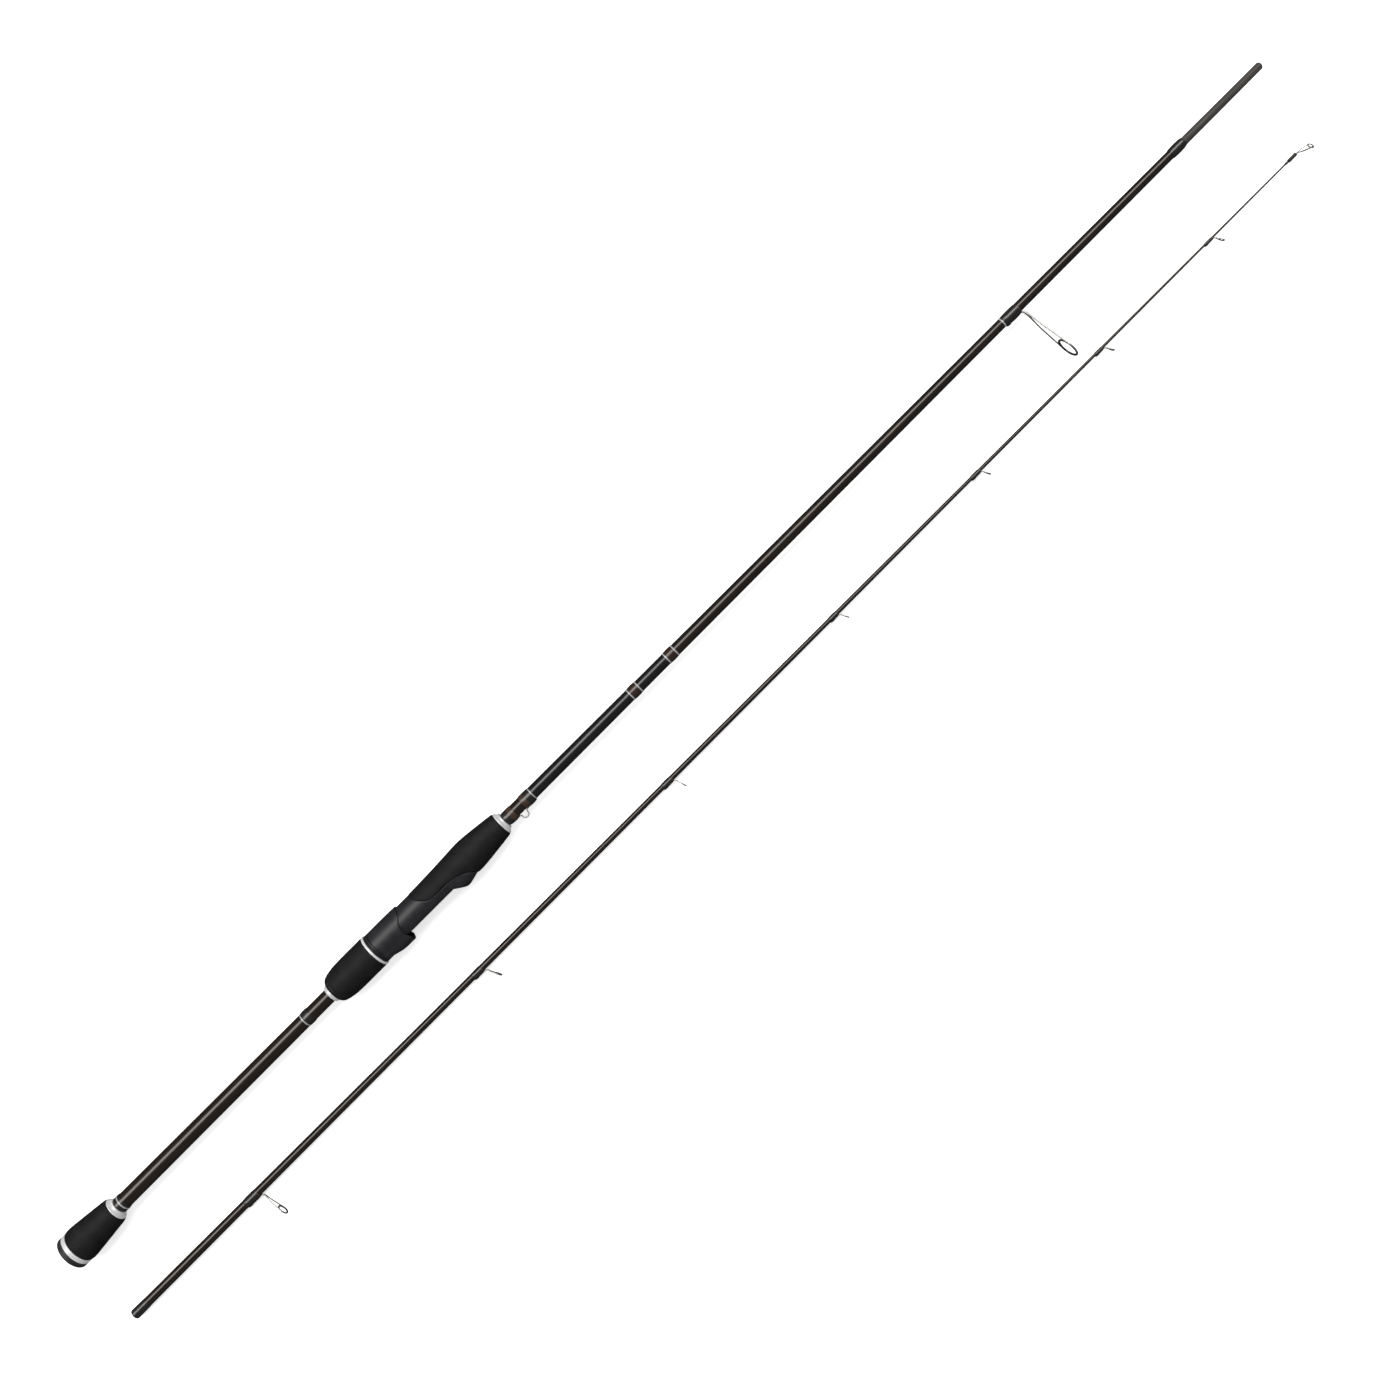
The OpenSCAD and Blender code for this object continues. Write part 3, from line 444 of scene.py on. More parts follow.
def tubeFinish(name, bands):
    # colours: (station along X in metres, dark, light) from the butt on; each holds from its station
    finish, tree, shader = newFinish(
        name, Coat_Roughness=tubeLook["coatRoughness"], Coat_IOR=tubeLook["coatIndex"]
    )
    effect = useEffect(tree, tubeGrain, tapePerMetre=tubeLook["tapePerMetre"])
    spot = addNode(tree, "ShaderNodeTexCoord", (-1500, 300))
    apart = addNode(tree, "ShaderNodeSeparateXYZ", (-1300, 300))
    link(tree, spot.outputs["Object"], apart.inputs[0])
    colour = None
    for k, (station, dark, light) in enumerate(bands["colours"]):
        here = colourBetween(tree, effect.outputs["fibres"], dark, light, *tubeLook["spread"])
        if colour is None:
            colour = here
            continue
        past = addNode(tree, "ShaderNodeMapRange", (-700, 300 + 200 * k))
        past.inputs["From Min"].default_value = station - tubeLook["changeOver"]
        past.inputs["From Max"].default_value = station + tubeLook["changeOver"]
        link(tree, apart.outputs["X"], past.inputs["Value"])
        mix = addNode(tree, "ShaderNodeMix", (-500, 300 + 200 * k), data_type="RGBA")
        link(tree, past.outputs["Result"], mix.inputs[0])
        link(tree, colour, mix.inputs[6])
        link(tree, here, mix.inputs[7])
        colour = mix.outputs[2]
    link(tree, colour, shader.inputs["Base Color"])
    bare = addNode(tree, "ShaderNodeMapRange", (-700, -300))
    bare.inputs["From Min"].default_value = bands["bareFrom"] - tubeLook["bareEdge"]
    bare.inputs["From Max"].default_value = bands["bareFrom"] + tubeLook["bareEdge"]
    link(tree, apart.outputs["X"], bare.inputs["Value"])
    glossy = valueBetween(tree, effect.outputs["haze"], *tubeLook["glossy"])
    worn = valueBetween(tree, effect.outputs["haze"], *tubeLook["bare"])
    rough = addNode(tree, "ShaderNodeMix", (-300, -300), data_type="FLOAT")
    link(tree, bare.outputs["Result"], rough.inputs[0])
    link(tree, glossy, rough.inputs[2])
    link(tree, worn, rough.inputs[3])
    link(tree, rough.outputs[0], shader.inputs["Roughness"])
    metal = valueBetween(tree, bare.outputs["Result"], bands["lustre"], 0.0)
    link(tree, metal, shader.inputs["Metallic"])
    coat = valueBetween(tree, bare.outputs["Result"], tubeLook["coat"], 0.0)
    link(tree, coat, shader.inputs["Coat Weight"])
    tape = blendMath(tree, "MULTIPLY", effect.outputs["tape"], tubeLook["tape"])
    height = blendMath(tree, "ADD", effect.outputs["fibres"], tape)
    addBump(tree, shader, height, tubeLook["relief"], tubeLook["depth"])
    return finish


threadLook = {
    "coatRoughness": 0.06, "coatIndex": 1.52, "turnsPerMetre": 4200.0, "changeOver": 0.0002,
    "spread": (0.1, 0.6), "rough": (0.3, 0.5), "relief": 0.25, "depth": 0.00008,
}
# the black thread's colours; the darker one fills the grooves between turns as painted shade
blackFibre = ((0.0035, 0.003, 0.003), (0.012, 0.009, 0.0075))


def threadFinish(name, dark, light, metallic, tints=()):
    # lacquered thread; tints: (dark, light, from station, to station) of other colours along it
    edge = threadLook["changeOver"]
    finish, tree, shader = newFinish(
        name, Metallic=metallic, Coat_Weight=1.0,
        Coat_Roughness=threadLook["coatRoughness"], Coat_IOR=threadLook["coatIndex"],
    )
    effect = useEffect(tree, threadTurns, turnsPerMetre=threadLook["turnsPerMetre"])
    # the colour follows the turns' ridges, darker in the grooves between turns: painted shade, with random
    # fuzz over it; the tints take the same painted shade
    shade = blendMath(tree, "MULTIPLY", effect.outputs["ridges"], effect.outputs["fuzz"])
    colour = colourBetween(tree, shade, dark, light, *threadLook["spread"])
    for tintDark, tintLight, fromX, toX in tints:
        spot = addNode(tree, "ShaderNodeTexCoord", (-1500, 300))
        apart = addNode(tree, "ShaderNodeSeparateXYZ", (-1300, 300))
        link(tree, spot.outputs["Object"], apart.inputs[0])
        after = addNode(tree, "ShaderNodeMapRange", (-1100, 300))
        after.inputs["From Min"].default_value = fromX - edge
        after.inputs["From Max"].default_value = fromX + edge
        before = addNode(tree, "ShaderNodeMapRange", (-1100, 60))
        before.inputs["From Min"].default_value = toX + edge
        before.inputs["From Max"].default_value = toX - edge
        link(tree, apart.outputs["X"], after.inputs["Value"])
        link(tree, apart.outputs["X"], before.inputs["Value"])
        mask = blendMath(tree, "MULTIPLY", after.outputs["Result"], before.outputs["Result"])
        mix = addNode(tree, "ShaderNodeMix", (-500, 500), data_type="RGBA")
        link(tree, mask, mix.inputs[0])
        link(tree, colour, mix.inputs[6])
        tinted = colourBetween(tree, shade, tintDark, tintLight, *threadLook["spread"])
        link(tree, tinted, mix.inputs[7])
        colour = mix.outputs[2]
    link(tree, colour, shader.inputs["Base Color"])
    link(tree, valueBetween(tree, effect.outputs["fuzz"], *threadLook["rough"]), shader.inputs["Roughness"])
    addBump(tree, shader, effect.outputs["ridges"], threadLook["relief"], threadLook["depth"])
    return finish


ceramicLook = {
    "dark": (0.008, 0.009, 0.014), "light": (0.016, 0.018, 0.028),
    "smoothest": 0.05, "roughest": 0.14, "marks": 6000.0, "relief": 0.03, "depth": 0.00005,
}


def ceramicFinish():
    finish, tree, shader = newFinish("ringCeramic")
    effect = useEffect(tree, latheMarks, marksPerMetre=ceramicLook["marks"])
    paint(tree, shader, effect.outputs["touch"], effect.outputs["touch"], ceramicLook)
    addBump(tree, shader, effect.outputs["touch"], ceramicLook["relief"], ceramicLook["depth"])
    return finish


arborLook = {
    "dark": (0.28, 0.2, 0.12), "light": (0.42, 0.31, 0.2),
    "smoothest": 0.7, "roughest": 0.9, "cells": 900.0, "relief": 0.4, "depth": 0.0002,
}


def arborFinish():
    finish, tree, shader = newFinish("pressedArbor")
    effect = useEffect(tree, foamCells, cellScale=arborLook["cells"])
    paint(tree, shader, effect.outputs["mottle"], effect.outputs["pits"], arborLook)
    addBump(tree, shader, effect.outputs["pits"], arborLook["relief"], arborLook["depth"])
    return finish


buttLine = axisStart("butt_blank")
tipLine = axisStart("tip_blank")
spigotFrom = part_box("ferrule_wrap")[1].x
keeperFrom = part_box("keeper_band")[0].x
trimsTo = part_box("middle_wrap_front")[1].x

warmDark = (0.008, 0.0046, 0.0026)
warmLight = (0.03, 0.0185, 0.0112)
coolDark = (0.005, 0.005, 0.0055)
coolLight = (0.016, 0.016, 0.0175)
bareDark = (0.026, 0.0225, 0.02)
bareLight = (0.06, 0.054, 0.049)

foam = foamFinish()
rubber = rubberFinish()
plastic = plasticFinish()
ceramic = ceramicFinish()
arbor = arborFinish()
satin = metalFinish(
    "satinAluminium", metallic=0.3, dark=(0.6, 0.6, 0.615), light=(0.7, 0.7, 0.715),
    smoothest=0.38, roughest=0.5,
)
steel = metalFinish(
    "polishedSteel", metallic=0.9, dark=(0.34, 0.335, 0.325), light=(0.48, 0.47, 0.46),
    smoothest=0.3, roughest=0.42,
)
blackLacquer = metalFinish(
    "blackLacquer", metallic=0.1, dark=(0.01, 0.0095, 0.009), light=(0.022, 0.021, 0.02),
    smoothest=0.22, roughest=0.34,
)
buttTube = tubeFinish("buttTubeGloss", {
    "colours": [
        (0, warmDark, warmLight),
        (keeperFrom, coolDark, coolLight),
        (trimsTo, warmDark, warmLight),
        (spigotFrom, bareDark, bareLight),
    ],
    "bareFrom": spigotFrom,
    "lustre": 0.55,
})
tipTube = tubeFinish("tipTubeGloss", {
    "colours": [(0, warmDark, warmLight)],
    "bareFrom": 9.0,  # past the tip, so none of it is bare
    "lustre": 0.55,
})
blackThread = threadFinish("blackThread", *blackFibre, metallic=0.0)
silverThread = threadFinish("silverThread", (0.34, 0.34, 0.35), (0.62, 0.62, 0.64), metallic=0.3)
bronzeThread = threadFinish("bronzeThread", (0.016, 0.007, 0.004), (0.06, 0.026, 0.013), metallic=0.35)
print("finishes made:", len(bpy.data.materials))


# butt cap, rings and foam grips
capShape = {"edge": 1.3 * mm, "dish": 0.35 * mm, "rib": 0.25 * mm, "groove": 0.2 * mm, "sides": 96}


def makeButtCap():
    low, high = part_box("butt_cap")
    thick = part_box("butt_ring")[0].x - low.x
    radius = radiusOf("butt_cap")
    edge = capShape["edge"]
    profile = [(capShape["dish"], radius * 0.05), (capShape["dish"], radius * 0.42)]
    profile += [(0.0, radius * 0.48), (0.0, radius * 0.7)]
    profile += [(capShape["rib"], radius * 0.72), (capShape["rib"], radius * 0.75), (0.0, radius * 0.77)]
    profile += arc(edge, radius - edge, edge, 180, 90, 6)
    inner = radius - capShape["groove"]
    profile += [(thick * 0.5, radius), (thick * 0.55, inner), (thick * 0.65, inner)]
    profile += [(thick * 0.7, radius), (thick, radius), (thick, radius * 0.3)]
    piece = turn((low.x, buttLine.y, buttLine.z), profile, capShape["sides"], "filled")
    return fit(piece, "buttCap", rubber, "rubber", "butt_cap")


ringShape = {"edge": 0.35 * mm, "groove": 0.18 * mm, "sides": 96}


def makeRing(node, name, bore, grooves=0):
    start, length, radius = axisStart(node), lengthOf(node), radiusOf(node)
    edge = min(ringShape["edge"], length * 0.25)
    profile = [(0.0, bore)]
    profile += arc(edge, radius - edge, edge, 180, 90, 4)
    for k in range(grooves):
        at = length * (k + 1) / (grooves + 1)
        depth = ringShape["groove"]
        profile += [(at - depth, radius), (at, radius - depth), (at + depth, radius)]
    profile += arc(length - edge, radius - edge, edge, 90, 0, 4)
    profile += [(length, bore)]
    piece = turn(start, profile, ringShape["sides"])
    return fit(piece, name, satin, "satin_aluminium", node)


def makeGrip(node, name, bore, outline):
    # outline: points in mm along the grip and out from its line
    start = axisStart(node)
    profile = [(along * mm, radius * mm) for along, radius in curveThrough(outline)]
    profile = [(profile[0][0], bore)] + profile + [(profile[-1][0], bore)]
    piece = turn(start, profile, 96)
    return fit(piece, name, foam, "foam", node, smoothUnder=50)


checkShape = {"rim": 0.25 * mm, "neck": 0.7 * mm, "sides": 96}


def makeCheck(node, name, bore, mouth, nose):
    # a dished trim: a wide rounded rim falls in a hollow curve to a narrow neck
    start, length = axisStart(node), lengthOf(node)
    rim, neck = checkShape["rim"], checkShape["neck"]
    profile = [(0.0, bore)]
    profile += arc(rim, mouth - rim, rim, 180, 80, 4)
    body = [(3 * rim, mouth - 0.2 * rim), (length * 0.45, nose + (mouth - nose) * 0.42),
            (length - neck, nose + 0.02 * mm), (length - 0.3 * rim, nose)]
    profile += curveThrough(body, 4)
    profile += [(length, nose - rim * 0.6), (length, bore)]
    piece = turn(start, profile, checkShape["sides"])
    return fit(piece, name, satin, "satin_aluminium", node)


makeButtCap()
makeRing("butt_ring", "buttRing", bore=5.2 * mm, grooves=1)
gripLength = lengthOf("butt_grip") / mm
makeGrip("butt_grip", "buttGripFoam", bore=5.0 * mm, outline=[
    (0, 11.4), (0.7, 12.0), (2.2, 12.28), (5, 12.2), (gripLength * 0.42, 11.25),
    (gripLength - 6, 9.75), (gripLength - 2.2, 9.3), (gripLength - 0.7, 8.85), (gripLength, 8.2),
])
makeCheck("butt_check", "buttCheck", bore=5.1 * mm, mouth=8.2 * mm, nose=6.2 * mm)
gripLength = lengthOf("rear_grip") / mm
makeGrip("rear_grip", "rearGripFoam", bore=5.8 * mm, outline=[
    (0, 7.6), (0.6, 8.6), (2.4, 9.9), (6.5, 11.05), (14, 11.82),
    (gripLength - 4, 11.9), (gripLength - 0.8, 11.86), (gripLength, 11.5),
])
makeRing("nut_ring", "nutRing", bore=9.75 * mm)
makeCheck("foregrip_check", "foregripCheck", bore=4.5 * mm, mouth=8.2 * mm, nose=6.2 * mm)


rearCheckShape = {"bore": 5.65 * mm, "edge": 0.25 * mm, "fall": 0.85 * mm, "sides": 96}


def makeRearCheck():
    start, length, radius = axisStart("rear_check"), lengthOf("rear_check"), radiusOf("rear_check")
    bore, edge = rearCheckShape["bore"], rearCheckShape["edge"]
    profile = [(0.0, bore)] + arc(edge, radius - rearCheckShape["fall"], edge, 180, 90, 4)
    shoulder = [(0.45 * mm, radius - 0.58 * mm), (1.1 * mm, radius - 0.12 * mm), (length * 0.6, radius)]
    profile += curveThrough(shoulder, 4)
    profile += [(length, radius), (length, bore)]
    piece = turn(start, profile, rearCheckShape["sides"])
    return fit(piece, "rearCheck", satin, "satin_aluminium", "rear_check")


makeRearCheck()
print("grips and rings done")


# thread wraps and metallic trim bands
wrapShape = {"steps": 12, "fullness": 0.42, "sides": 72}
lacquer = {"black": 0.35 * mm, "bronze": 0.35 * mm, "ferrule": 0.55 * mm, "tipTop": 0.28 * mm}


def makeWrap(node, name, thick, finish, slotName):
    start, length, radius = axisStart(node), lengthOf(node), radiusOf(node)
    profile = []
    for k in range(wrapShape["steps"] + 1):
        t = k / wrapShape["steps"]
        bulge = 0.15 + 0.85 * math.sin(math.pi * t) ** wrapShape["fullness"]
        profile.append((length * t, radius - thick * (1 - bulge)))
    bore = radius - thick - 0.05 * mm
    profile = [(0.0, bore)] + profile + [(length, bore)]
    piece = turn(start, profile, wrapShape["sides"])
    return fit(piece, name, finish, slotName, node, smoothUnder=60)


bandShape = {"turns": 4, "thread": 0.1 * mm, "depth": 0.3 * mm, "sides": 72}


def bandProfile(length, radius, bore):
    # a few turns of metallic thread side by side
    pitch = length / bandShape["turns"]
    profile = [(0.0, bore)]
    for k in range(bandShape["turns"]):
        for share, rise in ((0.05, 0.3), (0.25, 0.85), (0.5, 1.0), (0.75, 0.85), (0.95, 0.3)):
            profile.append((pitch * (k + share), radius - bandShape["thread"] * (1 - rise)))
    return profile + [(length, bore)]


def makeBand(node, name):
    start, length, radius = axisStart(node), lengthOf(node), radiusOf(node)
    piece = turn(start, bandProfile(length, radius, radius - bandShape["depth"]), bandShape["sides"])
    return fit(piece, name, silverThread, "silver_thread", node, smoothUnder=60)


def makeMiddleBands():
    # one band either side of each middle wrap
    parts = []
    width = lengthOf("butt_guide_band")
    for wrap in ("middle_wrap_rear", "middle_wrap_front"):
        low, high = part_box(wrap)
        radius = radiusOf(wrap) - 0.14 * mm
        for at in (low.x - width, high.x):
            threads = bandProfile(width, radius, radius - bandShape["depth"])
            parts.append(turn((at, buttLine.y, buttLine.z), threads, bandShape["sides"]))
    return fit(
        joinUp(parts), "middleTrimBands", silverThread, "silver_thread", "middle_bands", smoothUnder=60
    )


makeWrap("butt_wrap", "buttWrap", lacquer["black"], blackThread, "black_thread")
makeBand("butt_band", "buttTrimBand")
makeWrap("rear_wrap", "rearWrap", lacquer["black"], blackThread, "black_thread")
makeBand("rear_band", "rearTrimBand")
makeBand("keeper_band", "keeperTrimBand")
makeWrap("middle_wrap_rear", "middleWrapRear", lacquer["bronze"], bronzeThread, "bronze_thread")
makeWrap("middle_wrap_front", "middleWrapFront", lacquer["bronze"], bronzeThread, "bronze_thread")
makeMiddleBands()
makeBand("butt_guide_band", "buttGuideTrimBand")
makeWrap("ferrule_wrap", "ferruleWrap", lacquer["ferrule"], blackThread, "black_thread")
makeWrap("tip_top_wrap", "tipTopWrap", lacquer["tipTop"], blackThread, "black_thread")


def makeSocketWrap():
    start, radius = axisStart("socket_wrap"), radiusOf("socket_wrap")
    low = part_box("tip_socket")[0]
    long = (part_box("socket_wrap")[1].x - low.x) / mm
    full = radius / mm
    outline = [
        (0.1, full - 0.42), (0.25, full - 0.14), (0.8, full), (3.2, full),
        (8, full - 0.1), (long - 1.6, full - 0.2), (long, full - 0.42),
    ]
    bore = radius - 0.5 * mm
    profile = [(along * mm, size * mm) for along, size in curveThrough(outline)]
    profile = [(profile[0][0], bore)] + profile + [(profile[-1][0], bore)]
    piece = turn((low.x, start.y, start.z), profile, wrapShape["sides"])
    return fit(piece, "socketWrap", blackThread, "black_thread", "socket_wrap", smoothUnder=60)


makeSocketWrap()
print("wraps and bands done")


# reel seat, hood, nut and foregrip
seatShape = {"grain": 0.42 * mm, "rounds": 5}
hoodShape = {"grain": 0.26 * mm, "rounds": 5}
foregripShape = {"grain": 0.4 * mm, "rounds": 8}

fit(softCopy("reel_seat", seatShape["grain"], seatShape["rounds"]),
    "reelSeatBody", plastic, "seat_plastic", "reel_seat", smoothUnder=60)
fit(softCopy("sliding_hood", hoodShape["grain"], hoodShape["rounds"]),
    "slidingHood", plastic, "seat_plastic", "sliding_hood", smoothUnder=60)
fit(softCopy("foregrip", foregripShape["grain"], foregripShape["rounds"]),
    "foregripFoam", foam, "foam", "foregrip", smoothUnder=60)

nutShape = {
    "flutes": 0.22 * mm, "edge": 0.25 * mm, "bore": 8.8 * mm, "tube": 9.9 * mm,
    "neck": 9.2 * mm, "neckLength": 4 * mm, "rim": 9.8 * mm, "rimFrom": 1.8 * mm, "sides": 96,
}


def makeNut():
    start, length = axisStart("seat_nut"), lengthOf("seat_nut")
    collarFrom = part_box("nut_ring")[1].x - start.x
    collarTo = length - nutShape["neckLength"]
    collar, tube, neck, rim = radiusOf("seat_nut"), nutShape["tube"], nutShape["neck"], nutShape["rim"]
    edge, flute, rimFrom = nutShape["edge"], nutShape["flutes"], length - nutShape["rimFrom"]
    profile = [(0.0, nutShape["bore"]), (0.0, tube), (collarFrom, tube)]
    profile += arc(collarFrom + edge, collar - edge, edge, 180, 90, 3)
    for share in (0.35, 0.5, 0.65):
        at = collarFrom + (collarTo - collarFrom) * share
        profile += [(at - flute, collar), (at, collar - flute), (at + flute, collar)]
    profile += arc(collarTo - edge, collar - edge, edge, 90, 0, 3)
    profile += [(collarTo, neck), (rimFrom, neck), (rimFrom + 0.1 * mm, rim), (rimFrom + 1.1 * mm, rim)]
    profile += [(length, neck), (length, nutShape["bore"])]
    piece = turn(start, profile, nutShape["sides"])
    return fit(piece, "seatNut", plastic, "seat_plastic", "seat_nut")


makeNut()
print("seat, hood and nut done")


# guides: welded wire frames, ceramic rings and their lacquered feet
guides = [  # node, name, wire in mm, lean in degrees
    ("butt_guide", "buttGuide", 1.15, 6.5),
    ("tip_guide_1", "tipGuide1", 0.8, 8),
    ("tip_guide_2", "tipGuide2", 0.7, 27),
    ("tip_guide_3", "tipGuide3", 0.65, 18),
    ("tip_guide_4", "tipGuide4", 0.6, 27),
    ("tip_guide_5", "tipGuide5", 0.6, 26),
    ("tip_guide_6", "tipGuide6", 0.6, 30),
    ("tip_guide_7", "tipGuide7", 0.6, 30),
]
guides = [
    {"node": node, "name": name, "wire": wire, "lean": lean, "onButt": node == "butt_guide"}
    for node, name, wire, lean in guides
]
guideLacquer = {True: 0.35, False: 0.245}  # over the butt guide's foot and over a tip guide's, in mm


insertShape = {"half": 0.62, "wall": 0.85, "sides": 64}  # half its length and its wall, in wires


def makeInsert(node, name, wire, lean):
    # the ceramic ring, with a rounded bore
    low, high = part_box(node)
    centre = (low + high) / 2
    outer = (high.z - low.z) / 2
    half, wall = insertShape["half"] * wire, insertShape["wall"] * wire
    profile = [(-half, outer), (-half, outer - 0.25 * wall)]
    profile += [
        (-half * math.cos(math.radians(a)), outer - 0.25 * wall - 0.75 * wall * math.sin(math.radians(a)))
        for a in range(15, 166, 15)
    ]
    profile += [(half, outer - 0.25 * wall), (half, outer)]
    piece = turn((0, 0, 0), profile, insertShape["sides"])
    settle(piece)
    piece.rotation_euler = (0, 0, math.radians(lean))
    piece.location = centre
    return fit(piece, name, ceramic, "ring_ceramic", node, smoothUnder=50)


def addHoop(centre, size, thickness, lean):
    deselectAll()
    bpy.ops.mesh.primitive_torus_add(
        major_radius=size, minor_radius=thickness / 2, major_segments=80, minor_segments=20,
        location=centre, rotation=(0, math.pi / 2, math.radians(lean)),
    )
    return bpy.context.object


def underGuide(guide):  # the line of the tube below a guide, and the tube's radius there
    wrap = radiusOf(guide["node"] + "_wrap")
    line = buttLine if guide["onButt"] else tipLine
    return line, wrap - (0.35 * guide["wire"] + guideLacquer[guide["onButt"]]) * mm


frameShape = {"hoop": 1.15, "footShort": 2.6 * mm, "footHigh": 0.7, "footWide": 1.6, "tuck": 0.25}


def makeGuideFrame(guide):
    wire, lean = guide["wire"] * mm, math.radians(guide["lean"])
    ringLow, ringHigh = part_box(guide["node"] + "_ring")
    centre = (ringLow + ringHigh) / 2
    hoop = (ringHigh.z - ringLow.z) / 2 + 0.1 * wire
    line, tube = underGuide(guide)
    footY = line.y - tube - 0.35 * wire
    foot = Vector((centre.x - math.tan(lean) * (footY - centre.y), footY, centre.z))
    up = Vector((math.sin(lean), -math.cos(lean), 0))
    side = Vector((0, 0, 1))
    reach = (centre - foot).length
    spread = math.asin(hoop / reach)
    straight = math.sqrt(reach ** 2 - hoop ** 2)
    parts = []
    for hand in (-1, 1):
        meet = foot + up * straight * math.cos(spread) + side * hand * straight * math.sin(spread)
        root = foot + up * 0.6 * wire + side * hand * 0.42 * wire
        middle = root.lerp(meet, 0.5) + side * hand * 0.05 * hoop
        past = spread - frameShape["tuck"]  # the wire's end runs on a little along the hoop
        onHoop = centre - up * hoop * math.sin(past) + side * hand * hoop * math.cos(past)
        points = [
            foot + Vector((-3.4 * wire, 0, hand * 0.34 * wire)),
            foot + Vector((-1.0 * wire, 0, hand * 0.36 * wire)),
            root, middle, meet, onHoop,
        ]
        parts.append(bentWire(points, wire))
    parts.append(addHoop(centre, hoop, frameShape["hoop"] * wire, guide["lean"]))
    footLength = lengthOf(guide["node"] + "_wrap") - frameShape["footShort"]
    deselectAll()
    bpy.ops.mesh.primitive_cube_add(
        size=1, location=foot + Vector((0.1 * wire - footLength / 2, 0, 0)),
        scale=(footLength, frameShape["footHigh"] * wire, frameShape["footWide"] * wire),
    )
    plate = bpy.context.object
    settle(plate)
    roundEdges(plate, 0.15 * wire, 2)
    parts.append(plate)
    piece = weld(joinUp(parts), wire / 7, 3)
    name, node = guide["name"] + "Frame", guide["node"] + "_frame"
    return fit(piece, name, steel, "polished_steel", node, smoothUnder=60)


footWrap = {"grain": 0.17 * mm, "rounds": 6, "lump": 2.6 * mm, "cover": 0.4 * mm}


def makeFootWrap(node, name, finish, foot=None):
    # foot: the line the tube turns about, the tube's radius and the wire, for a lump over the foot's end
    piece = softCopy(node, footWrap["grain"], footWrap["rounds"])
    if foot:
        line, tube, wire = foot
        lump, cover = footWrap["lump"], footWrap["cover"]
        deselectAll()
        bpy.ops.mesh.primitive_uv_sphere_add(
            segments=32, ring_count=16, radius=1,
            location=(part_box(node)[0].x + lump, line.y - tube - 0.3 * wire, line.z),
            scale=(lump * 0.85, 0.4 * wire + cover, 0.8 * wire + cover),
        )
        piece = weld(joinUp([piece, bpy.context.object]), footWrap["grain"], 3)
    return fit(piece, name, finish, "black_thread", node, smoothUnder=60)


guideTrim = {"colours": ((0.02, 0.009, 0.005), (0.075, 0.033, 0.017)), "width": 0.9 * mm}

for guide in guides:
    makeGuideFrame(guide)
    makeInsert(guide["node"] + "_ring", guide["name"] + "Insert", guide["wire"] * mm, guide["lean"])
    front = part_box(guide["node"] + "_wrap")[1].x
    tinted = threadFinish(guide["name"] + "Thread", *blackFibre, metallic=0.0, tints=[
        (*guideTrim["colours"], front - guideTrim["width"], front + 1 * mm),
    ])
    foot = (*underGuide(guide), guide["wire"] * mm)
    makeFootWrap(guide["node"] + "_wrap", guide["name"] + "Wrap", tinted, foot)
print("guides done")

tipTop = {"wire": 0.6, "lean": 16, "sideTurn": 50}


def makeTipTop():
    wire, lean = tipTop["wire"] * mm, math.radians(tipTop["lean"])
    ringLow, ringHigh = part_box("tip_top_ring")
    centre = (ringLow + ringHigh) / 2
    hoop = (ringHigh.z - ringLow.z) / 2 + 0.1 * wire
    tubeEnd = Vector((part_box("tip_top_tube")[1].x, tipLine.y, tipLine.z))
    up = Vector((math.sin(lean), -math.cos(lean), 0))
    side = Vector((0, 0, 1))
    parts = [addHoop(centre, hoop, frameShape["hoop"] * wire, tipTop["lean"])]
    top = centre - up * hoop
    sideTurn = math.radians(tipTop["sideTurn"])
    parts.append(bentWire([
        tubeEnd + Vector((-0.3 * mm, 0.1 * mm, 0)), tubeEnd + Vector((1.2 * mm, 0.1 * mm, 0)),
        tubeEnd.lerp(top, 0.6) + Vector((0, 0.2 * mm, 0)), top,
    ], wire))
    for hand in (-1, 1):
        meet = centre + up * hoop * math.cos(sideTurn) + side * hand * hoop * math.sin(sideTurn)
        start = tubeEnd + Vector((-0.3 * mm, -0.25 * mm, hand * 0.3 * mm))
        parts.append(bentWire([
            start, start + Vector((1.3 * mm, -0.15 * mm, hand * 0.1 * mm)),
            start.lerp(meet, 0.55) + side * hand * 0.15 * mm, meet,
        ], wire))
    piece = weld(joinUp(parts), wire / 7, 3)
    fit(piece, "tipTopFrame", steel, "polished_steel", "tip_top_frame", smoothUnder=60)
    makeInsert("tip_top_ring", "tipTopInsert", wire, tipTop["lean"])
    start, length, radius = axisStart("tip_top_tube"), lengthOf("tip_top_tube"), radiusOf("tip_top_tube")
    profile = [(0.0, radius - 0.45 * mm)] + arc(0.25 * mm, radius - 0.25 * mm, 0.25 * mm, 180, 90, 4)
    profile += [(length * 0.55, radius), (length * 0.6, radius - 0.08 * mm), (length * 0.65, radius)]
    profile += arc(length - 0.45 * mm, radius - 0.45 * mm, 0.45 * mm, 90, 0, 5)
    piece = turn(start, profile, 64, "filled")
    fit(piece, "tipTopTube", blackLacquer, "tip_tube", "tip_top_tube")


makeTipTop()
print("tip-top done")


# hook keeper and its wraps
keeper = {"wire": 0.88, "width": 4.6, "height": 4.2}


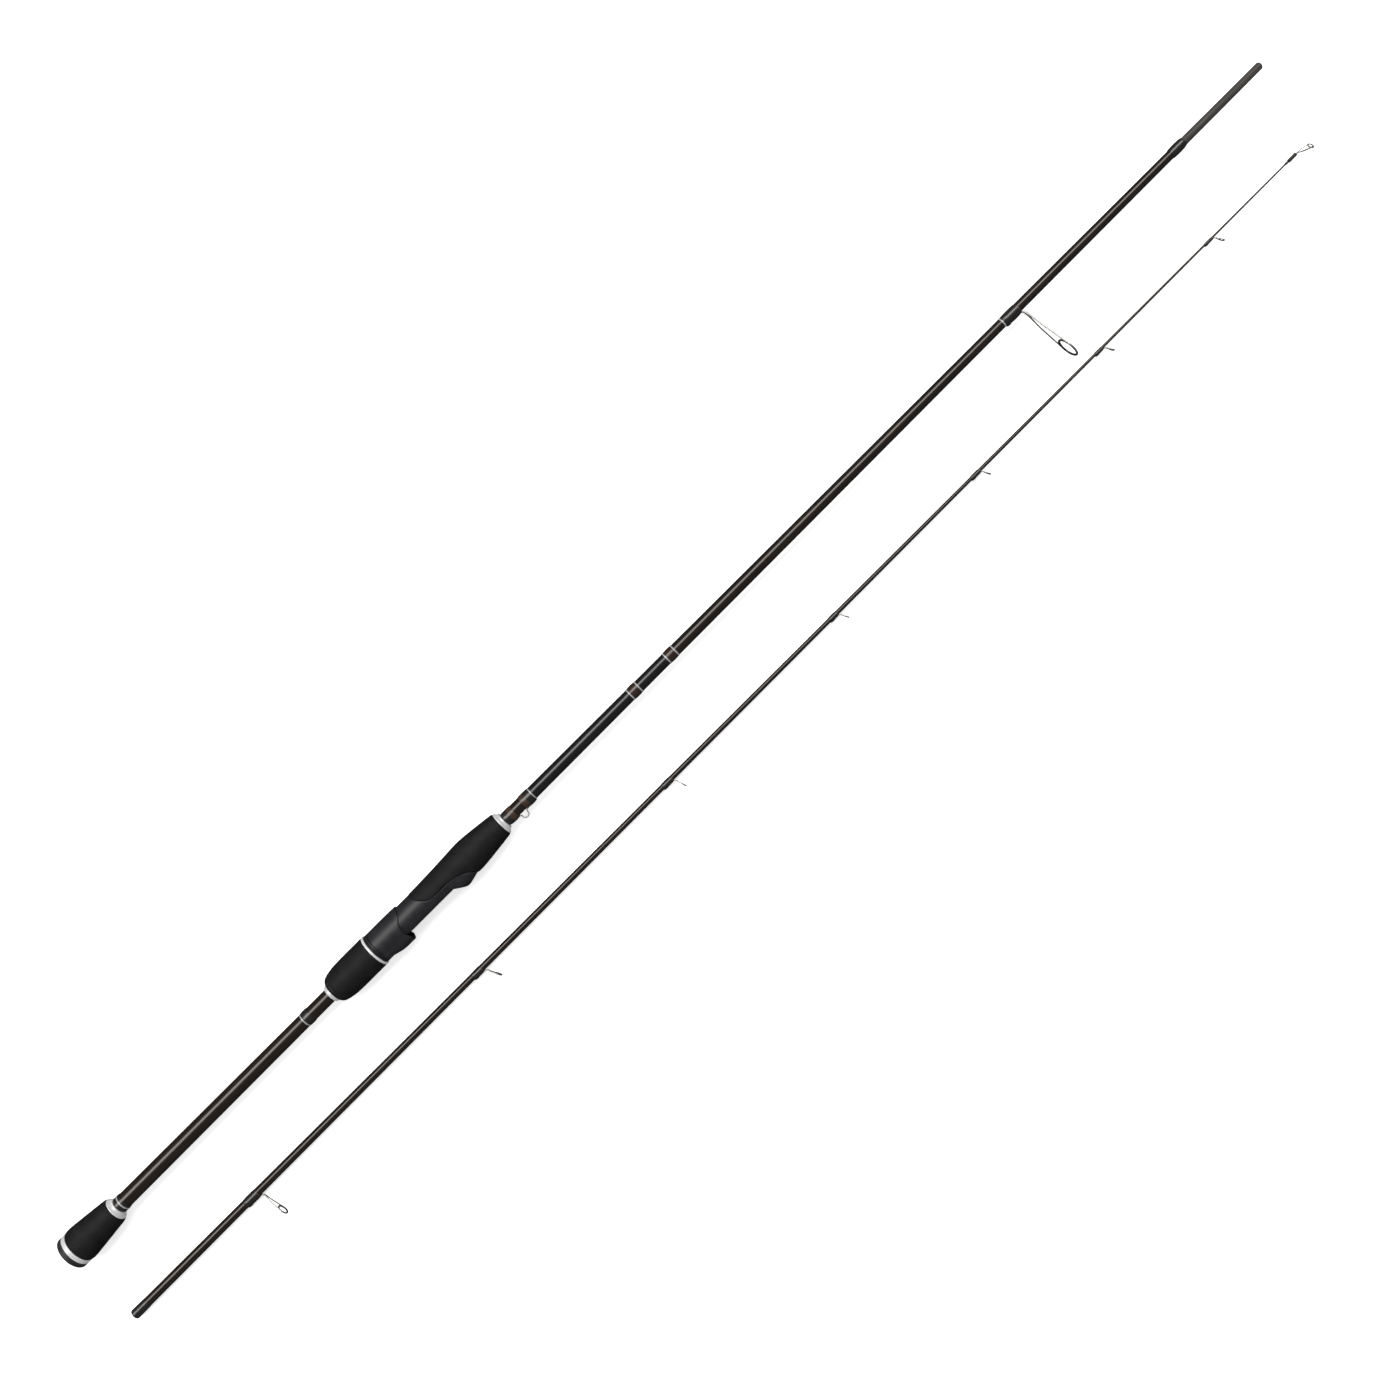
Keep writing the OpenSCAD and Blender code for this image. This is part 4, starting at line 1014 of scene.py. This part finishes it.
def makeKeeper():
    low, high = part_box("hook_keeper")
    middle = (low.x + high.x) / 2
    wire, half = keeper["wire"] * mm, keeper["width"] / 2 * mm
    top = low.y + wire / 2
    base = high.y - 0.55 * wire
    z = (low.z + high.z) / 2
    rear, front = middle - half, middle + half
    points = [
        Vector((low.x + 0.4 * mm, base, z)), Vector((rear - 1.2 * mm, base, z)),
        Vector((rear - 0.1 * mm, base - 0.5 * mm, z)), Vector((rear, top + half, z)),
    ]
    for degrees in (150, 120, 90, 60, 30):
        a = math.radians(degrees)
        points.append(Vector((middle + half * math.cos(a), top + half - half * math.sin(a), z)))
    points += [
        Vector((front, top + half, z)), Vector((front + 0.1 * mm, base - 0.5 * mm, z)),
        Vector((front + 1.2 * mm, base, z)), Vector((high.x - 0.4 * mm, base, z)),
    ]
    piece = bentWire(points, wire)
    return fit(piece, "hookKeeper", steel, "polished_steel", "hook_keeper", smoothUnder=60)


makeKeeper()
keeperTrim = {
    "colours": ((0.018, 0.008, 0.0045), (0.07, 0.03, 0.015)), "rear": 4.2 * mm, "front": 4.4 * mm,
}
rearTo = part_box("keeper_wrap_rear")[1].x
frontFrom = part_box("keeper_wrap_front")[0].x
rearKeeperThread = threadFinish("keeperThreadRear", *blackFibre, metallic=0.0, tints=[
    (*keeperTrim["colours"], rearTo - keeperTrim["rear"], rearTo + 1 * mm),
])
makeFootWrap("keeper_wrap_rear", "keeperWrapRear", rearKeeperThread)
frontKeeperThread = threadFinish("keeperThreadFront", *blackFibre, metallic=0.0, tints=[
    (*keeperTrim["colours"], frontFrom - 1 * mm, frontFrom + keeperTrim["front"]),
])
makeFootWrap("keeper_wrap_front", "keeperWrapFront", frontKeeperThread)
print("hook keeper done")


# tubes kept from the frame, with their own finishes
kept = {
    "butt_blank": (buttTube, "carbon"),
    "tip_blank": (tipTube, "carbon"),
    "tip_socket": (tipTube, "carbon"),
    "seat_arbors": (arbor, "arbor"),
}
for name, (finish, slotName) in kept.items():
    nodes[name].data.materials.clear()
    nodes[name].data.materials.append(finish)
print("tubes finished")


# floor, light and camera
studio = {
    "floor": 16.0,
    "floorBelow": 0.0002,
    "floorShade": 0.93,
    "floorGlow": 0.5,
    "floorMirrored": 0.04,
    "keyWatts": 84.0,
    "keyWide": 5.4,
    "keyDeep": 1.3,
    "keyLean": 28.0,
    "keyDistance": 2.3,
    "keyColour": (1.0, 0.985, 0.96),
    "roomSeen": 0.95,
    "roomFill": 0.6,
    "roomMirrored": 0.14,
}


def makeFloor():
    deselectAll()
    bpy.ops.mesh.primitive_plane_add(size=studio["floor"], location=(0, 0, -studio["floorBelow"]))
    floor = bpy.context.object
    floor.name = "paleFloor"
    finish, tree, shader = newFinish("paleFloor", Roughness=0.9)
    shader.inputs["Specular IOR Level"].default_value = 0.1
    shader.inputs["Emission Color"].default_value = (1, 1, 1, 1)
    path = addNode(tree, "ShaderNodeLightPath", (-700, 300))
    bright = studio["floorShade"]
    dim = studio["floorMirrored"]
    shade = colourBetween(tree, path.outputs["Is Glossy Ray"], (bright, bright, bright), (dim, dim, dim))
    link(tree, shade, shader.inputs["Base Color"])
    glow = blendMath(tree, "MULTIPLY", path.outputs["Is Camera Ray"], studio["floorGlow"])
    link(tree, glow, shader.inputs["Emission Strength"])
    floor.data.materials.append(finish)


def makeLights():
    lean = math.radians(studio["keyLean"])
    away = studio["keyDistance"]
    deselectAll()
    bpy.ops.object.light_add(
        type="AREA", location=(0, away * math.sin(lean), away * math.cos(lean)), rotation=(-lean, 0, 0)
    )
    key = bpy.context.object
    key.name = "keySoftbox"
    key.data.shape = "RECTANGLE"
    key.data.size = studio["keyWide"]
    key.data.size_y = studio["keyDeep"]
    key.data.energy = studio["keyWatts"]
    key.data.color = studio["keyColour"]
    world = bpy.data.worlds.new("studioRoom")
    bpy.context.scene.world = world
    world.use_nodes = True
    tree = world.node_tree
    back = next(n for n in tree.nodes if n.type == "BACKGROUND")
    back.inputs["Color"].default_value = (1, 1, 1, 1)
    path = addNode(tree, "ShaderNodeLightPath", (-900, 300))
    more = studio["roomSeen"] - studio["roomFill"]
    less = studio["roomMirrored"] - studio["roomFill"]
    seen = blendMath(tree, "MULTIPLY", path.outputs["Is Camera Ray"], more)
    mirrored = blendMath(tree, "MULTIPLY", path.outputs["Is Glossy Ray"], less)
    strength = blendMath(tree, "ADD", blendMath(tree, "ADD", seen, mirrored), studio["roomFill"])
    link(tree, strength, back.inputs["Strength"])


cameraPlace = {"height": 1.012, "turn": -45.0, "lens": 39.8, "sensor": 36, "along": -0.00135}


def makeCamera():
    deselectAll()
    bpy.ops.object.camera_add(
        location=(cameraPlace["along"], 0, cameraPlace["height"]),
        rotation=(0, 0, math.radians(cameraPlace["turn"])),
    )
    camera = bpy.context.object
    camera.data.sensor_width = cameraPlace["sensor"]
    camera.data.lens = cameraPlace["lens"]
    camera.data.clip_start = 0.01
    bpy.context.scene.camera = camera


makeFloor()
makeLights()
makeCamera()
bpy.context.scene.view_settings.view_transform = "Standard"
bpy.context.scene.view_settings.look = "None"
